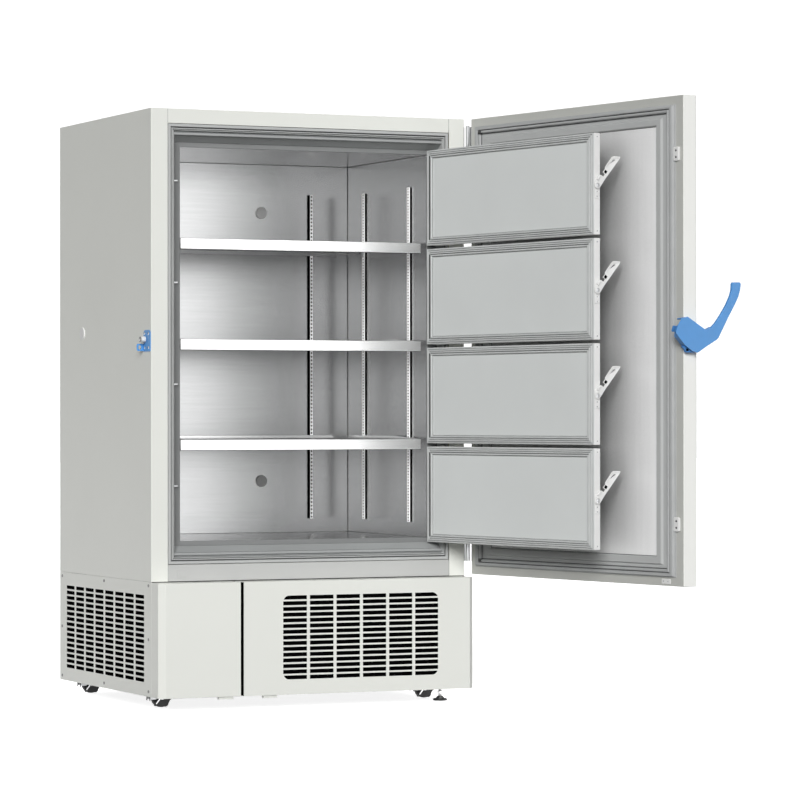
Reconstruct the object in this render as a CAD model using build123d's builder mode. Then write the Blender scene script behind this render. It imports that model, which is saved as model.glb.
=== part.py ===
"""Upright ultra low temperature freezer with an insulated outer door, four
inner doors and a refrigeration base on casters.

Frame: millimetres, +Z up, X to the right of a person facing the door, Y from
the front to the back.  The origin is on the floor under the cabinet's centre.
The doors stand open, as far as their stops allow.
"""
import os
from math import sin, cos, radians

from build123d import *

os.makedirs("parts", exist_ok=True)

# ------------------------------------------------------------------ dimensions
# cabinet
HALF_W = 572.5          # half the cabinet's width
Y_FRONT = -455.3        # plane of the cabinet's front flange
Y_BACK = 455.3          # plane of the back panel
Z_DECK = 425.0          # underside of the insulated cabinet
Z_TOP = 1990.0          # top of the cabinet
SHEET = 1.2             # painted sheet steel
FLANGE_X = 514.4        # inner edge of the side panels' front flange

# breaker frame and liner
BRK_X = 513.5           # outer half width of the breaker frame
BRK_Z0, BRK_Z1 = 481.0, 1941.5
BRK_RIB = 23.0          # width of the moulded lip and ribs
WALL_X = BRK_X - BRK_RIB
Y_LEDGE = -408.0        # seat of the inner doors' gaskets
LIN_X = 452.0           # liner half width
LIN_Z0, LIN_Z1 = 557.0, 1867.0
LIN_Y1 = 264.0          # liner back wall
LEDGE_Z0, LEDGE_Z1 = 540.6, 1883.4

# shelves
SHELF_X = 430.0
SHELF_TOPS = (894.0, 1229.0, 1565.0)
SHELF_LIP = 36.0
SHELF_Y0, SHELF_Y1 = -406.5, 252.0
PIL_Y = (-272.0, 110.0)  # pilasters on the side walls

# outer door
DOOR_OPEN = 100.2       # degrees open at rest
DOOR_AX, DOOR_AY = 582.2, -462.9
DOOR_A0, DOOR_A1 = 9.7, 1154.7      # along the door from its hinge axis
DOOR_B0, DOOR_B1 = 7.0, 60.5        # through the door, outwards
DOOR_Z0, DOOR_Z1 = 430.0, 1990.0
GASKET_D0, GASKET_D1 = 37.0, 76.0   # door gasket, from the door's free edge
RAIL_D0, RAIL_D1 = 28.5, 57.0       # and from its top and bottom edges
HINGE_SHIFT = 9.0                   # gasket and liner lie this much nearer the hinge edge

# handle and striker
PIV_B, PIV_Z = 16.0, 1223.0         # handle pivot on the door's free edge
ROLL_Y, ROLL_Z = -412.9, 1226.0     # striker roller on the cabinet's side
ROLL_R = 9.5
HOOK_R0, HOOK_R1 = 76.7, 87.0

# inner doors
IN_OPEN = 99.8
IN_AX, IN_AY = 463.2, -429.0
IN_A0, IN_A1 = -11.0, 926.6
IN_B0, IN_B1 = -13.0, 11.0          # slab
IN_GASKET = -20.0                   # gasket face
IN_Z0 = 541.0
IN_H, IN_GAP = 326.75, 11.0
LATCH_DZ = 158.5                    # latch pivot above the inner door's foot
LATCH_B = -3.6
LATCH_LEAN = 39.4                   # latch lever's angle at rest
KEEP_R = 41.2

# base
BASE_Z0, BASE_Z1 = 45.0, 423.0
Y_COVER = -538.0        # front of the lower covers
COVER_X = 572.5
COVER_CH = 20.0

# casters: wheel contact points
CASTERS = {
    "front_left": (-485.0, -310.0, True),
    "front_right": (482.0, -313.0, True),
    "rear_left": (-488.0, 372.0, True),
    "rear_right": (485.0, 372.0, True),
}
WHEEL_R, WHEEL_W, TRAIL = 32.0, 22.0, 25.0
FOOT_X, FOOT_Y = 482.0, -449.0


def turned(angle):
    """Direction along a door and its outward normal, opened by an angle."""
    t = radians(angle)
    return (-cos(t), -sin(t), 0.0), (sin(t), -cos(t), 0.0)


DOOR_U, DOOR_N = turned(DOOR_OPEN)
IN_U, IN_N = turned(IN_OPEN)
door_plane = Plane(origin=(DOOR_AX, DOOR_AY, 0), x_dir=DOOR_U, z_dir=(0, 0, 1))
inner_plane = Plane(origin=(IN_AX, IN_AY, 0), x_dir=IN_U, z_dir=(0, 0, 1))


def edge_plane(base, u, n, a):
    """Plane across a door at distance a from its hinge: x outwards, y up."""
    o = base.origin
    return Plane(origin=(o.X + u[0] * a, o.Y + u[1] * a, 0), x_dir=n, z_dir=u)


def block(x, y, z, mode=Mode.ADD):
    """Box between the given limits."""
    with Locations(((x[0] + x[1]) / 2, (y[0] + y[1]) / 2, (z[0] + z[1]) / 2)):
        Box(x[1] - x[0], y[1] - y[0], z[1] - z[0], mode=mode)


def rod_x(x, y, z, r, mode=Mode.ADD):
    with Locations(((x[0] + x[1]) / 2, y, z)):
        Cylinder(r, x[1] - x[0], rotation=(0, 90, 0), mode=mode)


def rod_y(x, y, z, r, mode=Mode.ADD):
    with Locations((x, (y[0] + y[1]) / 2, z)):
        Cylinder(r, y[1] - y[0], rotation=(90, 0, 0), mode=mode)


def rod_z(x, y, z, r, mode=Mode.ADD):
    with Locations((x, y, (z[0] + z[1]) / 2)):
        Cylinder(r, z[1] - z[0], mode=mode)


def save(piece, name):
    piece.part.label = name
    export_step(piece.part, "parts/" + name + ".step")


# ================================================================ outer casing
def side_panel_profile(s):
    """L-shaped section of a side panel, s = -1 left, +1 right."""
    Polygon(
        (s * HALF_W, Y_BACK), (s * HALF_W, Y_FRONT), (s * FLANGE_X, Y_FRONT),
        (s * FLANGE_X, Y_FRONT + SHEET), (s * (HALF_W - SHEET), Y_FRONT + SHEET),
        (s * (HALF_W - SHEET), Y_BACK), align=None,
    )


with BuildPart() as left_side_panel:
    with BuildSketch(Plane.XY.offset(Z_DECK)) as sk:
        side_panel_profile(-1)
        fillet(sk.vertices().sort_by_distance((-HALF_W + SHEET, Y_FRONT + SHEET, Z_DECK))[0], 3.0)
        fillet(sk.vertices().sort_by_distance((-HALF_W, Y_FRONT, Z_DECK))[0], 4.2)
    extrude(amount=Z_TOP - Z_DECK)
save(left_side_panel, "left_side_panel")

with BuildPart() as right_side_panel:
    with BuildSketch(Plane.XY.offset(Z_DECK)) as sk:
        side_panel_profile(1)
        fillet(sk.vertices().sort_by_distance((HALF_W - SHEET, Y_FRONT + SHEET, Z_DECK))[0], 3.0)
        fillet(sk.vertices().sort_by_distance((HALF_W, Y_FRONT, Z_DECK))[0], 4.2)
    extrude(amount=Z_TOP - Z_DECK)
save(right_side_panel, "right_side_panel")

with BuildPart() as top_panel:
    block((-HALF_W + 1.4, HALF_W - 1.4), (Y_FRONT + 5, Y_BACK), (Z_TOP - SHEET, Z_TOP))
    block((-514.2, 514.2), (Y_FRONT, Y_FRONT + SHEET), (BRK_Z1, Z_TOP))
    block((-514.2, 514.2), (Y_FRONT, Y_FRONT + 6), (Z_TOP - SHEET, Z_TOP))
save(top_panel, "top_panel")

with BuildPart() as deck_panel:
    block((-HALF_W + 1.4, HALF_W - 1.4), (Y_FRONT + 5, Y_BACK), (Z_DECK, Z_DECK + SHEET))
    block((-514.2, 514.2), (Y_FRONT, Y_FRONT + SHEET), (Z_DECK, BRK_Z0))
    block((-514.2, 514.2), (Y_FRONT, Y_FRONT + 6), (Z_DECK, Z_DECK + SHEET))
    # embossed cover of the door switch, on the sill
    block((-480, -446), (Y_FRONT - 1.5, Y_FRONT + 0.2), (437, 466))
save(deck_panel, "deck_panel")

with BuildPart() as back_panel:
    block((-HALF_W + 1.4, HALF_W - 1.4), (Y_BACK - SHEET, Y_BACK), (Z_DECK + 1.4, Z_TOP - 1.4))
save(back_panel, "back_panel")

# foam slabs between the case and the liner; the side and back slabs stand off
# the liner by the depth of the evaporator tube
with BuildPart() as foam_insulation:
    block((-571.1, -465.0), (-403.0, 453.9), (Z_DECK + 1.4, Z_TOP - 1.4))
    block((465.0, 571.1), (-403.0, 453.9), (Z_DECK + 1.4, Z_TOP - 1.4))
    block((-464.5, 464.5), (-403.0, 453.9), (LIN_Z1 + 1.2, Z_TOP - 1.4))
    block((-464.5, 464.5), (-403.0, 453.9), (Z_DECK + 1.4, LIN_Z0 - 1.2))
    block((-464.5, 464.5), (277.0, 453.9), (LIN_Z0 - 0.8, LIN_Z1 + 0.8))
save(foam_insulation, "foam_insulation")

# moulded breaker frame: mitred lip with a groove and a rib, then the flat ledge
# that the inner doors' gaskets close on
BRK_ZC = (BRK_Z0 + BRK_Z1) / 2
BRK_H = BRK_Z1 - BRK_Z0
with BuildPart() as breaker_frame:
    with BuildSketch(Plane.XZ.offset(-Y_FRONT)):
        with Locations((0, BRK_ZC)):
            Rectangle(2 * BRK_X, BRK_H)
            Rectangle(2 * WALL_X, BRK_H - 2 * BRK_RIB, mode=Mode.SUBTRACT)
    extrude(amount=-(-404.0 - Y_FRONT))
    # groove behind the lip
    with BuildSketch(Plane.XZ.offset(-Y_FRONT)):
        with Locations((0, BRK_ZC)):
            Rectangle(2 * (BRK_X - 11), BRK_H - 22)
            Rectangle(2 * (BRK_X - 16), BRK_H - 32, mode=Mode.SUBTRACT)
    extrude(amount=-9, mode=Mode.SUBTRACT)
    # the rib stands back from the lip
    with BuildSketch(Plane.XZ.offset(-Y_FRONT)):
        with Locations((0, BRK_ZC)):
            Rectangle(2 * (BRK_X - 15), BRK_H - 30)
            Rectangle(2 * (BRK_X - 30), BRK_H - 60, mode=Mode.SUBTRACT)
    extrude(amount=-2.5, mode=Mode.SUBTRACT)
    # mitre cuts at the corners part the ring into four bars
    for sx in (-1, 1):
        for sz in (-1, 1):
            with Locations(Location((sx * (BRK_X - BRK_RIB / 2), -430, BRK_ZC + sz * (BRK_H - BRK_RIB) / 2),
                                    (0, -45 * sx * sz, 0))):
                Box(120, 80, 0.2, mode=Mode.SUBTRACT)
    # flat ledge, in four bars
    block((-WALL_X + 0.2, -LIN_X), (Y_LEDGE, -404.0), (LEDGE_Z0, LEDGE_Z1))
    block((LIN_X, WALL_X - 0.2), (Y_LEDGE, -404.0), (LEDGE_Z0, LEDGE_Z1))
    block((-LIN_X + 0.2, LIN_X - 0.2), (Y_LEDGE, -404.0), (LIN_Z1, LEDGE_Z1))
    block((-LIN_X + 0.2, LIN_X - 0.2), (Y_LEDGE, -404.0), (LEDGE_Z0, LIN_Z0))
    # sloped infill above the top door and below the bottom door
    with BuildSketch(Plane.YZ.offset(-WALL_X + 0.2)):
        Polygon((-404, LEDGE_Z1 + 0.2), (-411, LEDGE_Z1 + 0.2), (-438, 1902), (-449, 1904),
                (-449, 1912), (-440, 1913), (-440, BRK_Z1 - BRK_RIB - 0.2),
                (-404, BRK_Z1 - BRK_RIB - 0.2), align=None)
        Polygon((-404, LEDGE_Z0 - 0.2), (-411, LEDGE_Z0 - 0.2), (-438, 521), (-449, 519),
                (-449, 511), (-440, 510), (-440, BRK_Z0 + BRK_RIB + 0.2),
                (-404, BRK_Z0 + BRK_RIB + 0.2), align=None)
    extrude(amount=2 * WALL_X - 0.4)
save(breaker_frame, "breaker_frame")

# liner of five folded stainless sheets
with BuildPart() as inner_liner:
    block((-LIN_X - 1, -LIN_X), (-403.8, LIN_Y1 + 1), (LIN_Z0 - 1, LIN_Z1 + 1))
    block((LIN_X, LIN_X + 1), (-403.8, LIN_Y1 + 1), (LIN_Z0 - 1, LIN_Z1 + 1))
    block((-LIN_X + 0.1, LIN_X - 0.1), (LIN_Y1, LIN_Y1 + 1), (LIN_Z0 - 1, LIN_Z1 + 1))
    block((-LIN_X + 0.1, LIN_X - 0.1), (-403.8, LIN_Y1 - 0.1), (LIN_Z1, LIN_Z1 + 1))
    block((-LIN_X + 0.1, LIN_X - 0.1), (-403.8, LIN_Y1 - 0.1), (LIN_Z0 - 1, LIN_Z0))
save(inner_liner, "inner_liner")

# perforated pilasters: two on each side wall, two on the back wall
PIL_Z0, PIL_Z1 = 606.0, 1768.0
PIL_SLOTS = 44
PIL_PITCH = 26.0
with BuildPart() as shelf_pilasters:
    for s in (-1, 1):
        for y in PIL_Y:
            block((s * LIN_X, s * (LIN_X - 8)) if s < 0 else (LIN_X - 8, LIN_X), (y - 9, y + 9), (PIL_Z0, PIL_Z1))
    for x in (-305.0, 305.0):
        block((x - 9, x + 9), (LIN_Y1 - 8, LIN_Y1), (PIL_Z0, PIL_Z1))
    # slots
    for y in PIL_Y:
        with BuildSketch(Plane.YZ.offset(-LIN_X + 2)):
            with Locations((y, (PIL_Z0 + PIL_Z1) / 2)):
                with GridLocations(1, PIL_PITCH, 1, PIL_SLOTS):
                    Rectangle(7, 12)
        extrude(amount=2 * LIN_X - 4, mode=Mode.SUBTRACT)
    with BuildSketch(Plane.XZ.offset(-LIN_Y1 + 2)):
        for x in (-305.0, 305.0):
            with Locations((x, (PIL_Z0 + PIL_Z1) / 2)):
                with GridLocations(1, PIL_PITCH, 1, PIL_SLOTS):
                    Rectangle(7, 12)
    extrude(amount=10, mode=Mode.SUBTRACT)
save(shelf_pilasters, "shelf_pilasters")

with BuildPart() as shelf_clips:
    for zt in SHELF_TOPS:
        for s in (-1, 1):
            for y in PIL_Y:
                x_in, x_out = 416.0, LIN_X - 8.2
                xs = (x_in, x_out) if s > 0 else (-x_out, -x_in)
                xv = (x_out - 2.5, x_out) if s > 0 else (-x_out, -x_out + 2.5)
                block(xs, (y - 8, y + 8), (zt - 5.2, zt - 2.2))
                block(xv, (y - 8, y + 8), (zt - 26, zt - 2.2))
save(shelf_clips, "shelf_clips")

# shelves: pressed sheet with a deep rolled front lip, two hat ribs and low upstands
with BuildPart() as shelves:
    for zt in SHELF_TOPS:
        block((-SHELF_X, SHELF_X), (SHELF_Y0, SHELF_Y1), (zt - 2, zt))
        block((-449.5, SHELF_X), (SHELF_Y0, SHELF_Y0 + 2), (zt - SHELF_LIP, zt))
        block((-449.5, SHELF_X), (SHELF_Y0, SHELF_Y0 + 18), (zt - SHELF_LIP, zt - SHELF_LIP + 2))
        block((-449.5, SHELF_X), (SHELF_Y0 + 16, SHELF_Y0 + 18), (zt - SHELF_LIP, zt - 18))
        block((-405, 405), (SHELF_Y1 - 2, SHELF_Y1), (zt - 20, zt))
        for y in (-130, 60):
            block((-400, 400), (y - 15, y + 15), (zt - 18, zt - 2))
            block((-400, 400), (y - 13, y + 13), (zt - 16.2, zt - 2), mode=Mode.SUBTRACT)
        # low upstands along the sides and the back, cut off at a slant at their ends
        with BuildSketch(Plane.XZ.offset(-SHELF_Y1)):
            Polygon((-392, zt - 1), (392, zt - 1), (382, zt + 10), (-382, zt + 10), align=None)
        extrude(amount=2)
        for x0 in (-SHELF_X, SHELF_X - 2):
            with BuildSketch(Plane.YZ.offset(x0)):
                Polygon((-392, zt - 1), (204, zt - 1), (194, zt + 10), (-382, zt + 10), align=None)
            extrude(amount=2)
save(shelves, "shelves")

# plugs of the two ports in the back wall, and the port cover on the left side
with BuildPart() as port_plugs:
    for z in (1695.0, 741.0):
        rod_y(115.4, (LIN_Y1 - 6, LIN_Y1), z, 21)
    fillet(port_plugs.faces().filter_by(Axis.Y).group_by(Axis.Y)[0].edges(), 2.5)
    rod_x((-HALF_W - 4.5, -HALF_W), 215.0, 1257.6, 22.5)
    fillet(port_plugs.faces().sort_by(Axis.X)[0].edges(), 2.0)
save(port_plugs, "port_plugs")

# stainless tube wound round the liner's sides and back
COIL_R = 4.7
with BuildPart() as evaporator_coil:
    pts = []
    zc = 625.0
    for k in range(9):
        s = -1 if k % 2 == 0 else 1
        pts += [(s * 458.9, -370, zc), (s * 458.9, 271.0, zc), (-s * 458.9, 271.0, zc), (-s * 458.9, -370, zc)]
        zc += 145.0
    with BuildLine() as path:
        FilletPolyline(*pts, radius=6.5)
    with BuildSketch(Plane(origin=pts[0], z_dir=(0, 1, 0))):
        Circle(COIL_R)
    sweep(path=path.line)
save(evaporator_coil, "evaporator_coil")

# ------------------------------------------------------------ striker, keepers
with BuildPart() as striker_bracket:
    with BuildSketch(Plane.YZ.offset(-HALF_W - 3.0)) as sk:
        with Locations((-420.5, 1221.5)):
            Rectangle(61, 71)
        fillet(sk.vertices().group_by(Axis.Z)[-1], 14)
        fillet(sk.vertices().group_by(Axis.Z)[0], 5)
    extrude(amount=3.0)
    block((-HALF_W - 3, -HALF_W), (-395, -386), (1188, 1212))
    # padlock ear, bent outwards, with its slot
    block((-598.5, -HALF_W - 0.5), (-389, -386), (1188, 1212))
    block((-592, -583), (-392, -383), (1193, 1207), mode=Mode.SUBTRACT)
    rod_x((-606.5, -HALF_W - 1), ROLL_Y, ROLL_Z, 3.0)
    rod_x((-606.0, -604.0), ROLL_Y, ROLL_Z, 5.0)
save(striker_bracket, "striker_bracket")

with BuildPart() as striker_roller:
    rod_x((-603.2, -577.2), ROLL_Y, ROLL_Z, ROLL_R)
    fillet(striker_roller.edges().filter_by(GeomType.CIRCLE), 1.2)
    rod_x((-604, -576), ROLL_Y, ROLL_Z, 3.05, mode=Mode.SUBTRACT)
save(striker_roller, "striker_roller")

inner_z = [IN_Z0 + (3 - k) * (IN_H + IN_GAP) for k in range(4)]   # foot of doors 1..4

with BuildPart() as latch_keepers:
    for zb in inner_z:
        kz = zb + LATCH_DZ + 41.0
        ky = IN_AY + 3.6 + 3.8
        rod_x((-WALL_X, -467.2), ky, kz, 3.0)
        block((-WALL_X, -WALL_X + 2), (ky - 10, ky + 10), (kz - 18, kz + 18))
save(latch_keepers, "latch_keepers")

# --------------------------------------------------------------- outer hinges
HINGES = ((475.0, 635.0), (1803.0, 1963.0))
with BuildPart() as hinge_brackets:
    for z0, z1 in HINGES:
        zm = (z0 + z1) / 2
        # cabinet leaf on the side, and its knuckle
        block((HALF_W, HALF_W + 3.2), (-450, -395), (z0, z1))
        with BuildSketch(Plane.XY.offset(z0)):
            Polygon((HALF_W, -448), (HALF_W + 3.2, -442), (DOOR_AX + 6.2, DOOR_AY + 3),
                    (DOOR_AX - 5.5, DOOR_AY + 2.5), (HALF_W + 0.1, -455.0), align=None)
            with Locations((DOOR_AX, DOOR_AY)):
                Circle(7)
        extrude(amount=zm - 0.4 - z0)
        # pin
        rod_z(DOOR_AX, DOOR_AY, (z0, z1 + 4), 4.0)
        rod_z(DOOR_AX, DOOR_AY, (z1 + 0.6, z1 + 4), 6.0)
save(hinge_brackets, "hinge_brackets")

with BuildPart(door_plane) as door_hinge_leaves:
    for z0, z1 in HINGES:
        zm = (z0 + z1) / 2
        block((6.5, DOOR_A0), (9, 52), (z0, z1))
        block((0, 8), (3.0, 10.5), (zm + 0.4, z1))
        rod_z(0, 0, (zm + 0.4, z1), 7.0)
        rod_z(0, 0, (zm - 2, z1 + 1), 4.06, mode=Mode.SUBTRACT)
save(door_hinge_leaves, "door_hinge_leaves")

# ----------------------------------------------------------------- outer door
with BuildPart(door_plane) as door_skin:
    block((DOOR_A0, DOOR_A1), (DOOR_B0, DOOR_B1), (DOOR_Z0, DOOR_Z1))
    fillet(door_skin.edges().filter_by(Axis.Z), 3.0)
    block((DOOR_A0 + SHEET, DOOR_A1 - SHEET), (DOOR_B0 + SHEET, DOOR_B1 - SHEET),
          (DOOR_Z0 + SHEET, DOOR_Z1 - SHEET), mode=Mode.SUBTRACT)
    block((DOOR_A0 + 77 - HINGE_SHIFT, DOOR_A1 - 77), (DOOR_B0 - 1, DOOR_B0 + 5),
          (DOOR_Z0 + 58, DOOR_Z1 - 58), mode=Mode.SUBTRACT)
save(door_skin, "door_skin")

with BuildPart(door_plane) as door_foam:
    block((DOOR_A0 + 1.5, DOOR_A1 - 1.5), (DOOR_B0 + 1.5, DOOR_B1 - 1.5), (DOOR_Z0 + 1.5, DOOR_Z1 - 1.5))
    fillet(door_foam.edges().filter_by(Axis.Z), 2.0)
save(door_foam, "door_foam")

# inner liner of the door: pressed sheet with a raised frame
with BuildPart(door_plane) as door_liner:
    block((DOOR_A0 + 77.3 - HINGE_SHIFT, DOOR_A1 - 77.3), (DOOR_B0 - 1.5, DOOR_B0 + 1.4), (DOOR_Z0 + 58.3, DOOR_Z1 - 58.3))
    lo_a, hi_a = DOOR_A0 + 100 - HINGE_SHIFT, DOOR_A1 - 100
    lo_z, hi_z = DOOR_Z0 + 68, DOOR_Z1 - 68
    block((lo_a, hi_a), (DOOR_B0 - 8.5, DOOR_B0 - 1), (lo_z, hi_z))
    chamfer(door_liner.edges().filter_by_position(Axis(door_plane.origin, DOOR_N), DOOR_B0 - 8.6, DOOR_B0 - 8.4), 5.0)
    block((lo_a + 29, hi_a - 29), (DOOR_B0 - 12, DOOR_B0 - 3.5), (lo_z + 25, hi_z - 25), mode=Mode.SUBTRACT)
save(door_liner, "door_liner")

def gasket_zone(da, dz, b, **kw):
    """Block inside the door's edges, da from the free edge and dz from top and bottom."""
    block((DOOR_A0 + da - HINGE_SHIFT, DOOR_A1 - da), b, (DOOR_Z0 + dz, DOOR_Z1 - dz), **kw)


with BuildPart(door_plane) as door_gasket:
    gasket_zone(GASKET_D0, RAIL_D0, (DOOR_B0 - 12.4, DOOR_B0))
    gasket_zone(GASKET_D1, RAIL_D1, (DOOR_B0 - 20, DOOR_B0 + 1), mode=Mode.SUBTRACT)
    chamfer(door_gasket.edges().filter_by_position(Axis(door_plane.origin, DOOR_N), DOOR_B0 - 12.5, DOOR_B0 - 12.3), 3.0)
    # bellows groove round the gasket's middle
    gasket_zone(GASKET_D0 + 17, RAIL_D0 + 11, (DOOR_B0 - 15, DOOR_B0 - 8), mode=Mode.SUBTRACT)
    gasket_zone(GASKET_D0 + 24, RAIL_D0 + 16, (DOOR_B0 - 11.0, DOOR_B0))
    gasket_zone(GASKET_D1, RAIL_D1, (DOOR_B0 - 20, DOOR_B0 + 1), mode=Mode.SUBTRACT)
save(door_gasket, "door_gasket")

# control panel on the outer face
with BuildPart(door_plane) as control_panel:
    block((470, 730), (DOOR_B1, DOOR_B1 + 7), (1590, 1760))
    fillet(control_panel.edges().filter_by(Axis(origin=(0, 0, 0), direction=DOOR_N)), 12)
    chamfer(control_panel.edges().filter_by_position(Axis(door_plane.origin, DOOR_N), DOOR_B1 + 6.9, DOOR_B1 + 7.1), 2.0)
    # recess of the display
    block((500, 700), (DOOR_B1 + 5, DOOR_B1 + 8), (1650, 1740), mode=Mode.SUBTRACT)
save(control_panel, "control_panel")

# ----------------------------------------------------------------- handle
hp = edge_plane(door_plane, DOOR_U, DOOR_N, DOOR_A1)
LEV_A0, LEV_A1 = 1159.6, 1184.6

# bracket screwed to the door's free edge, with the pivot pin
with BuildPart(door_plane) as handle_housing:
    with BuildSketch(edge_plane(door_plane, DOOR_U, DOOR_N, DOOR_A1)) as sk:
        Polygon((9, 1166), (58, 1166), (58, 1290), (9, 1290), align=None)
        fillet(sk.vertices(), 8)
    extrude(amount=4.2)
    with BuildSketch(edge_plane(door_plane, DOOR_U, DOOR_N, DOOR_A1 + 4)):
        with Locations((PIV_B, PIV_Z)):
            Circle(6)
    extrude(amount=27.5)
    with BuildSketch(edge_plane(door_plane, DOOR_U, DOOR_N, LEV_A1 + 0.6)):
        with Locations((PIV_B, PIV_Z)):
            Circle(9)
    extrude(amount=2.2)
save(handle_housing, "handle_housing")


def polar(r, deg):
    return (PIV_B + r * cos(radians(deg)), PIV_Z + r * sin(radians(deg)))


with BuildPart(door_plane) as handle_lever:
    with BuildSketch(edge_plane(door_plane, DOOR_U, DOOR_N, LEV_A0)) as sk:
        # hub and arm
        Polygon((-24, 1263), polar(55, 120), (11, 1284), (40, 1272), (87, 1244.6), (108, 1250), (125.8, 1265.8),
                (162, 1317.6), (189, 1359.5), (195.5, 1386.5), (198.8, 1397.4), (227.6, 1398), (232, 1389.5),
                (226, 1370), (214.6, 1340), (171.7, 1273.7), (150, 1232), (137, 1214.7), (118, 1201), (89.5, 1190),
                (61, 1175), (40, 1171), (11, 1171.5), (-1.4, 1174), (-14, 1190), polar(52, 205), polar(55, 185),
                polar(55, 165), align=None)
        # hook, concentric with the pivot
        with BuildLine():
            a0, a1 = 106.0, 169.0
            CenterArc((PIV_B, PIV_Z), HOOK_R1, a0, a1 - a0)
            Line(polar(HOOK_R1, a1), polar(HOOK_R0, a1))
            CenterArc((PIV_B, PIV_Z), HOOK_R0, a1, a0 - a1)
            Line(polar(HOOK_R0, a0), polar(HOOK_R1, a0))
        make_face()
        # root that joins the hook to the hub
        with BuildLine():
            Polyline(polar(40, 100), polar(HOOK_R1 - 0.5, 106), polar(HOOK_R1 - 1, 124), polar(45, 124), polar(40, 100))
        make_face()
    extrude(amount=LEV_A1 - LEV_A0)
    with BuildSketch(edge_plane(door_plane, DOOR_U, DOOR_N, LEV_A0 - 1)):
        with Locations((PIV_B, PIV_Z)):
            Circle(6.06)
    extrude(amount=40, mode=Mode.SUBTRACT)
save(handle_lever, "handle_lever")

# -------------------------------------------------------------- inner doors
with BuildPart() as inner_hinge_brackets:
    for zb in inner_z:
        for z0 in (zb + 3.5, zb + IN_H - 11.5):
            block((IN_AX, WALL_X), (IN_AY - 6.5, IN_AY + 6.5), (z0, z0 + 8))
            rod_z(IN_AX, IN_AY, (z0, z0 + 8), 6.5)
            rod_z(IN_AX, IN_AY, (z0 - 1, z0 + 9), 3.06, mode=Mode.SUBTRACT)
            block((WALL_X - 2.5, WALL_X), (IN_AY - 14, IN_AY + 14), (z0, z0 + 8))
save(inner_hinge_brackets, "inner_hinge_brackets")

# hinge rods, turned down to pins at their ends
with BuildPart() as inner_hinge_pins:
    for zb in inner_z:
        rod_z(IN_AX, IN_AY, (zb + 2.6, zb + IN_H - 2.6), 3.0)
        rod_z(IN_AX, IN_AY, (zb + 14.6, zb + IN_H - 14.6), 8.0)
save(inner_hinge_pins, "inner_hinge_pins")

for k, zb in enumerate(inner_z):
    zt = zb + IN_H
    num = str(k + 1)
    with BuildPart(inner_plane) as inner_door:
        block((IN_A0, IN_A1), (IN_B0, IN_B1), (zb, zt))
        # notches that clear the hinge brackets, and the bore of the hinge rod
        block((IN_A0 - 1, 20), (IN_GASKET - 1, IN_B1 + 1), (zb - 1, zb + 14), mode=Mode.SUBTRACT)
        block((IN_A0 - 1, 20), (IN_GASKET - 1, IN_B1 + 1), (zt - 14, zt + 1), mode=Mode.SUBTRACT)
        rod_z(0, 0, (zb - 1, zt + 1), 8.06, mode=Mode.SUBTRACT)
        # latch base plate on the free edge
        block((IN_A1 - 0.2, IN_A1 + 2.4), (LATCH_B - 10, LATCH_B + 10), (zb + LATCH_DZ - 42, zb + LATCH_DZ + 20))
        rod_x((IN_A1 - 22, IN_A1 + 3), LATCH_B, zb + LATCH_DZ, 4.06, mode=Mode.SUBTRACT)
        # gasket round the inner face, apart from the slab by a hair
        block((-3.0, IN_A1 - 0.5), (IN_GASKET, IN_B0 - 0.02), (zb + 14.2, zt - 14.2))
        block((20.4, IN_A1 - 0.5), (IN_GASKET, IN_B0 - 0.02), (zb + 0.5, zt - 0.5))
        block((27, IN_A1 - 38), (IN_GASKET - 1, IN_B0 - 0.01), (zb + 38, zt - 38), mode=Mode.SUBTRACT)
    save(inner_door, "inner_door_" + num)

    with BuildPart(inner_plane) as latch_pivot:
        rod_x((IN_A1 - 20, IN_A1 + 7.5), LATCH_B, zb + LATCH_DZ, 4.0)
        rod_x((IN_A1 + 7.6 - 0.3, IN_A1 + 9.6), LATCH_B, zb + LATCH_DZ, 7.5)
    save(latch_pivot, "latch_pivot_" + num)

    # lever, drawn upright and then leaned outwards about its pivot
    lean = Plane(
        origin=edge_plane(inner_plane, IN_U, IN_N, IN_A1 + 3.2).from_local_coords((LATCH_B, zb + LATCH_DZ, 0)),
        x_dir=(IN_N[0] * cos(radians(LATCH_LEAN)), IN_N[1] * cos(radians(LATCH_LEAN)), -sin(radians(LATCH_LEAN))),
        z_dir=IN_U,
    )
    with BuildPart(lean) as latch_lever:
        with BuildSketch(lean) as sk:
            Polygon((-11, 0), (-10, 60), (-14, 64), (-14, 112), (10, 131), (13, 124), (10, 40), (11, 0), align=None)
            Circle(12)
            # striker slot, entered from the back edge
            with BuildLine():
                s0, s1 = 89.0, 125.0
                CenterArc((0, 0), KEEP_R + 5.6, s0, s1 - s0)
                Line(((KEEP_R + 5.6) * cos(radians(s1)), (KEEP_R + 5.6) * sin(radians(s1))),
                     ((KEEP_R - 5.6) * cos(radians(s1)), (KEEP_R - 5.6) * sin(radians(s1))))
                CenterArc((0, 0), KEEP_R - 5.6, s1, s0 - s1)
                Line(((KEEP_R - 5.6) * cos(radians(s0)), (KEEP_R - 5.6) * sin(radians(s0))),
                     ((KEEP_R + 5.6) * cos(radians(s0)), (KEEP_R + 5.6) * sin(radians(s0))))
            make_face(mode=Mode.SUBTRACT)
            # finger window near the tip
            Polygon((-7, 82), (-5, 104), (3, 112), align=None, mode=Mode.SUBTRACT)
            Circle(4.06, mode=Mode.SUBTRACT)
        extrude(amount=4.0)
    save(latch_lever, "latch_lever_" + num)

# ---------------------------------------------------------------------- base
SW = {}
for name, (xw, yw, brake) in CASTERS.items():
    SW[name] = (xw - TRAIL, yw)

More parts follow.
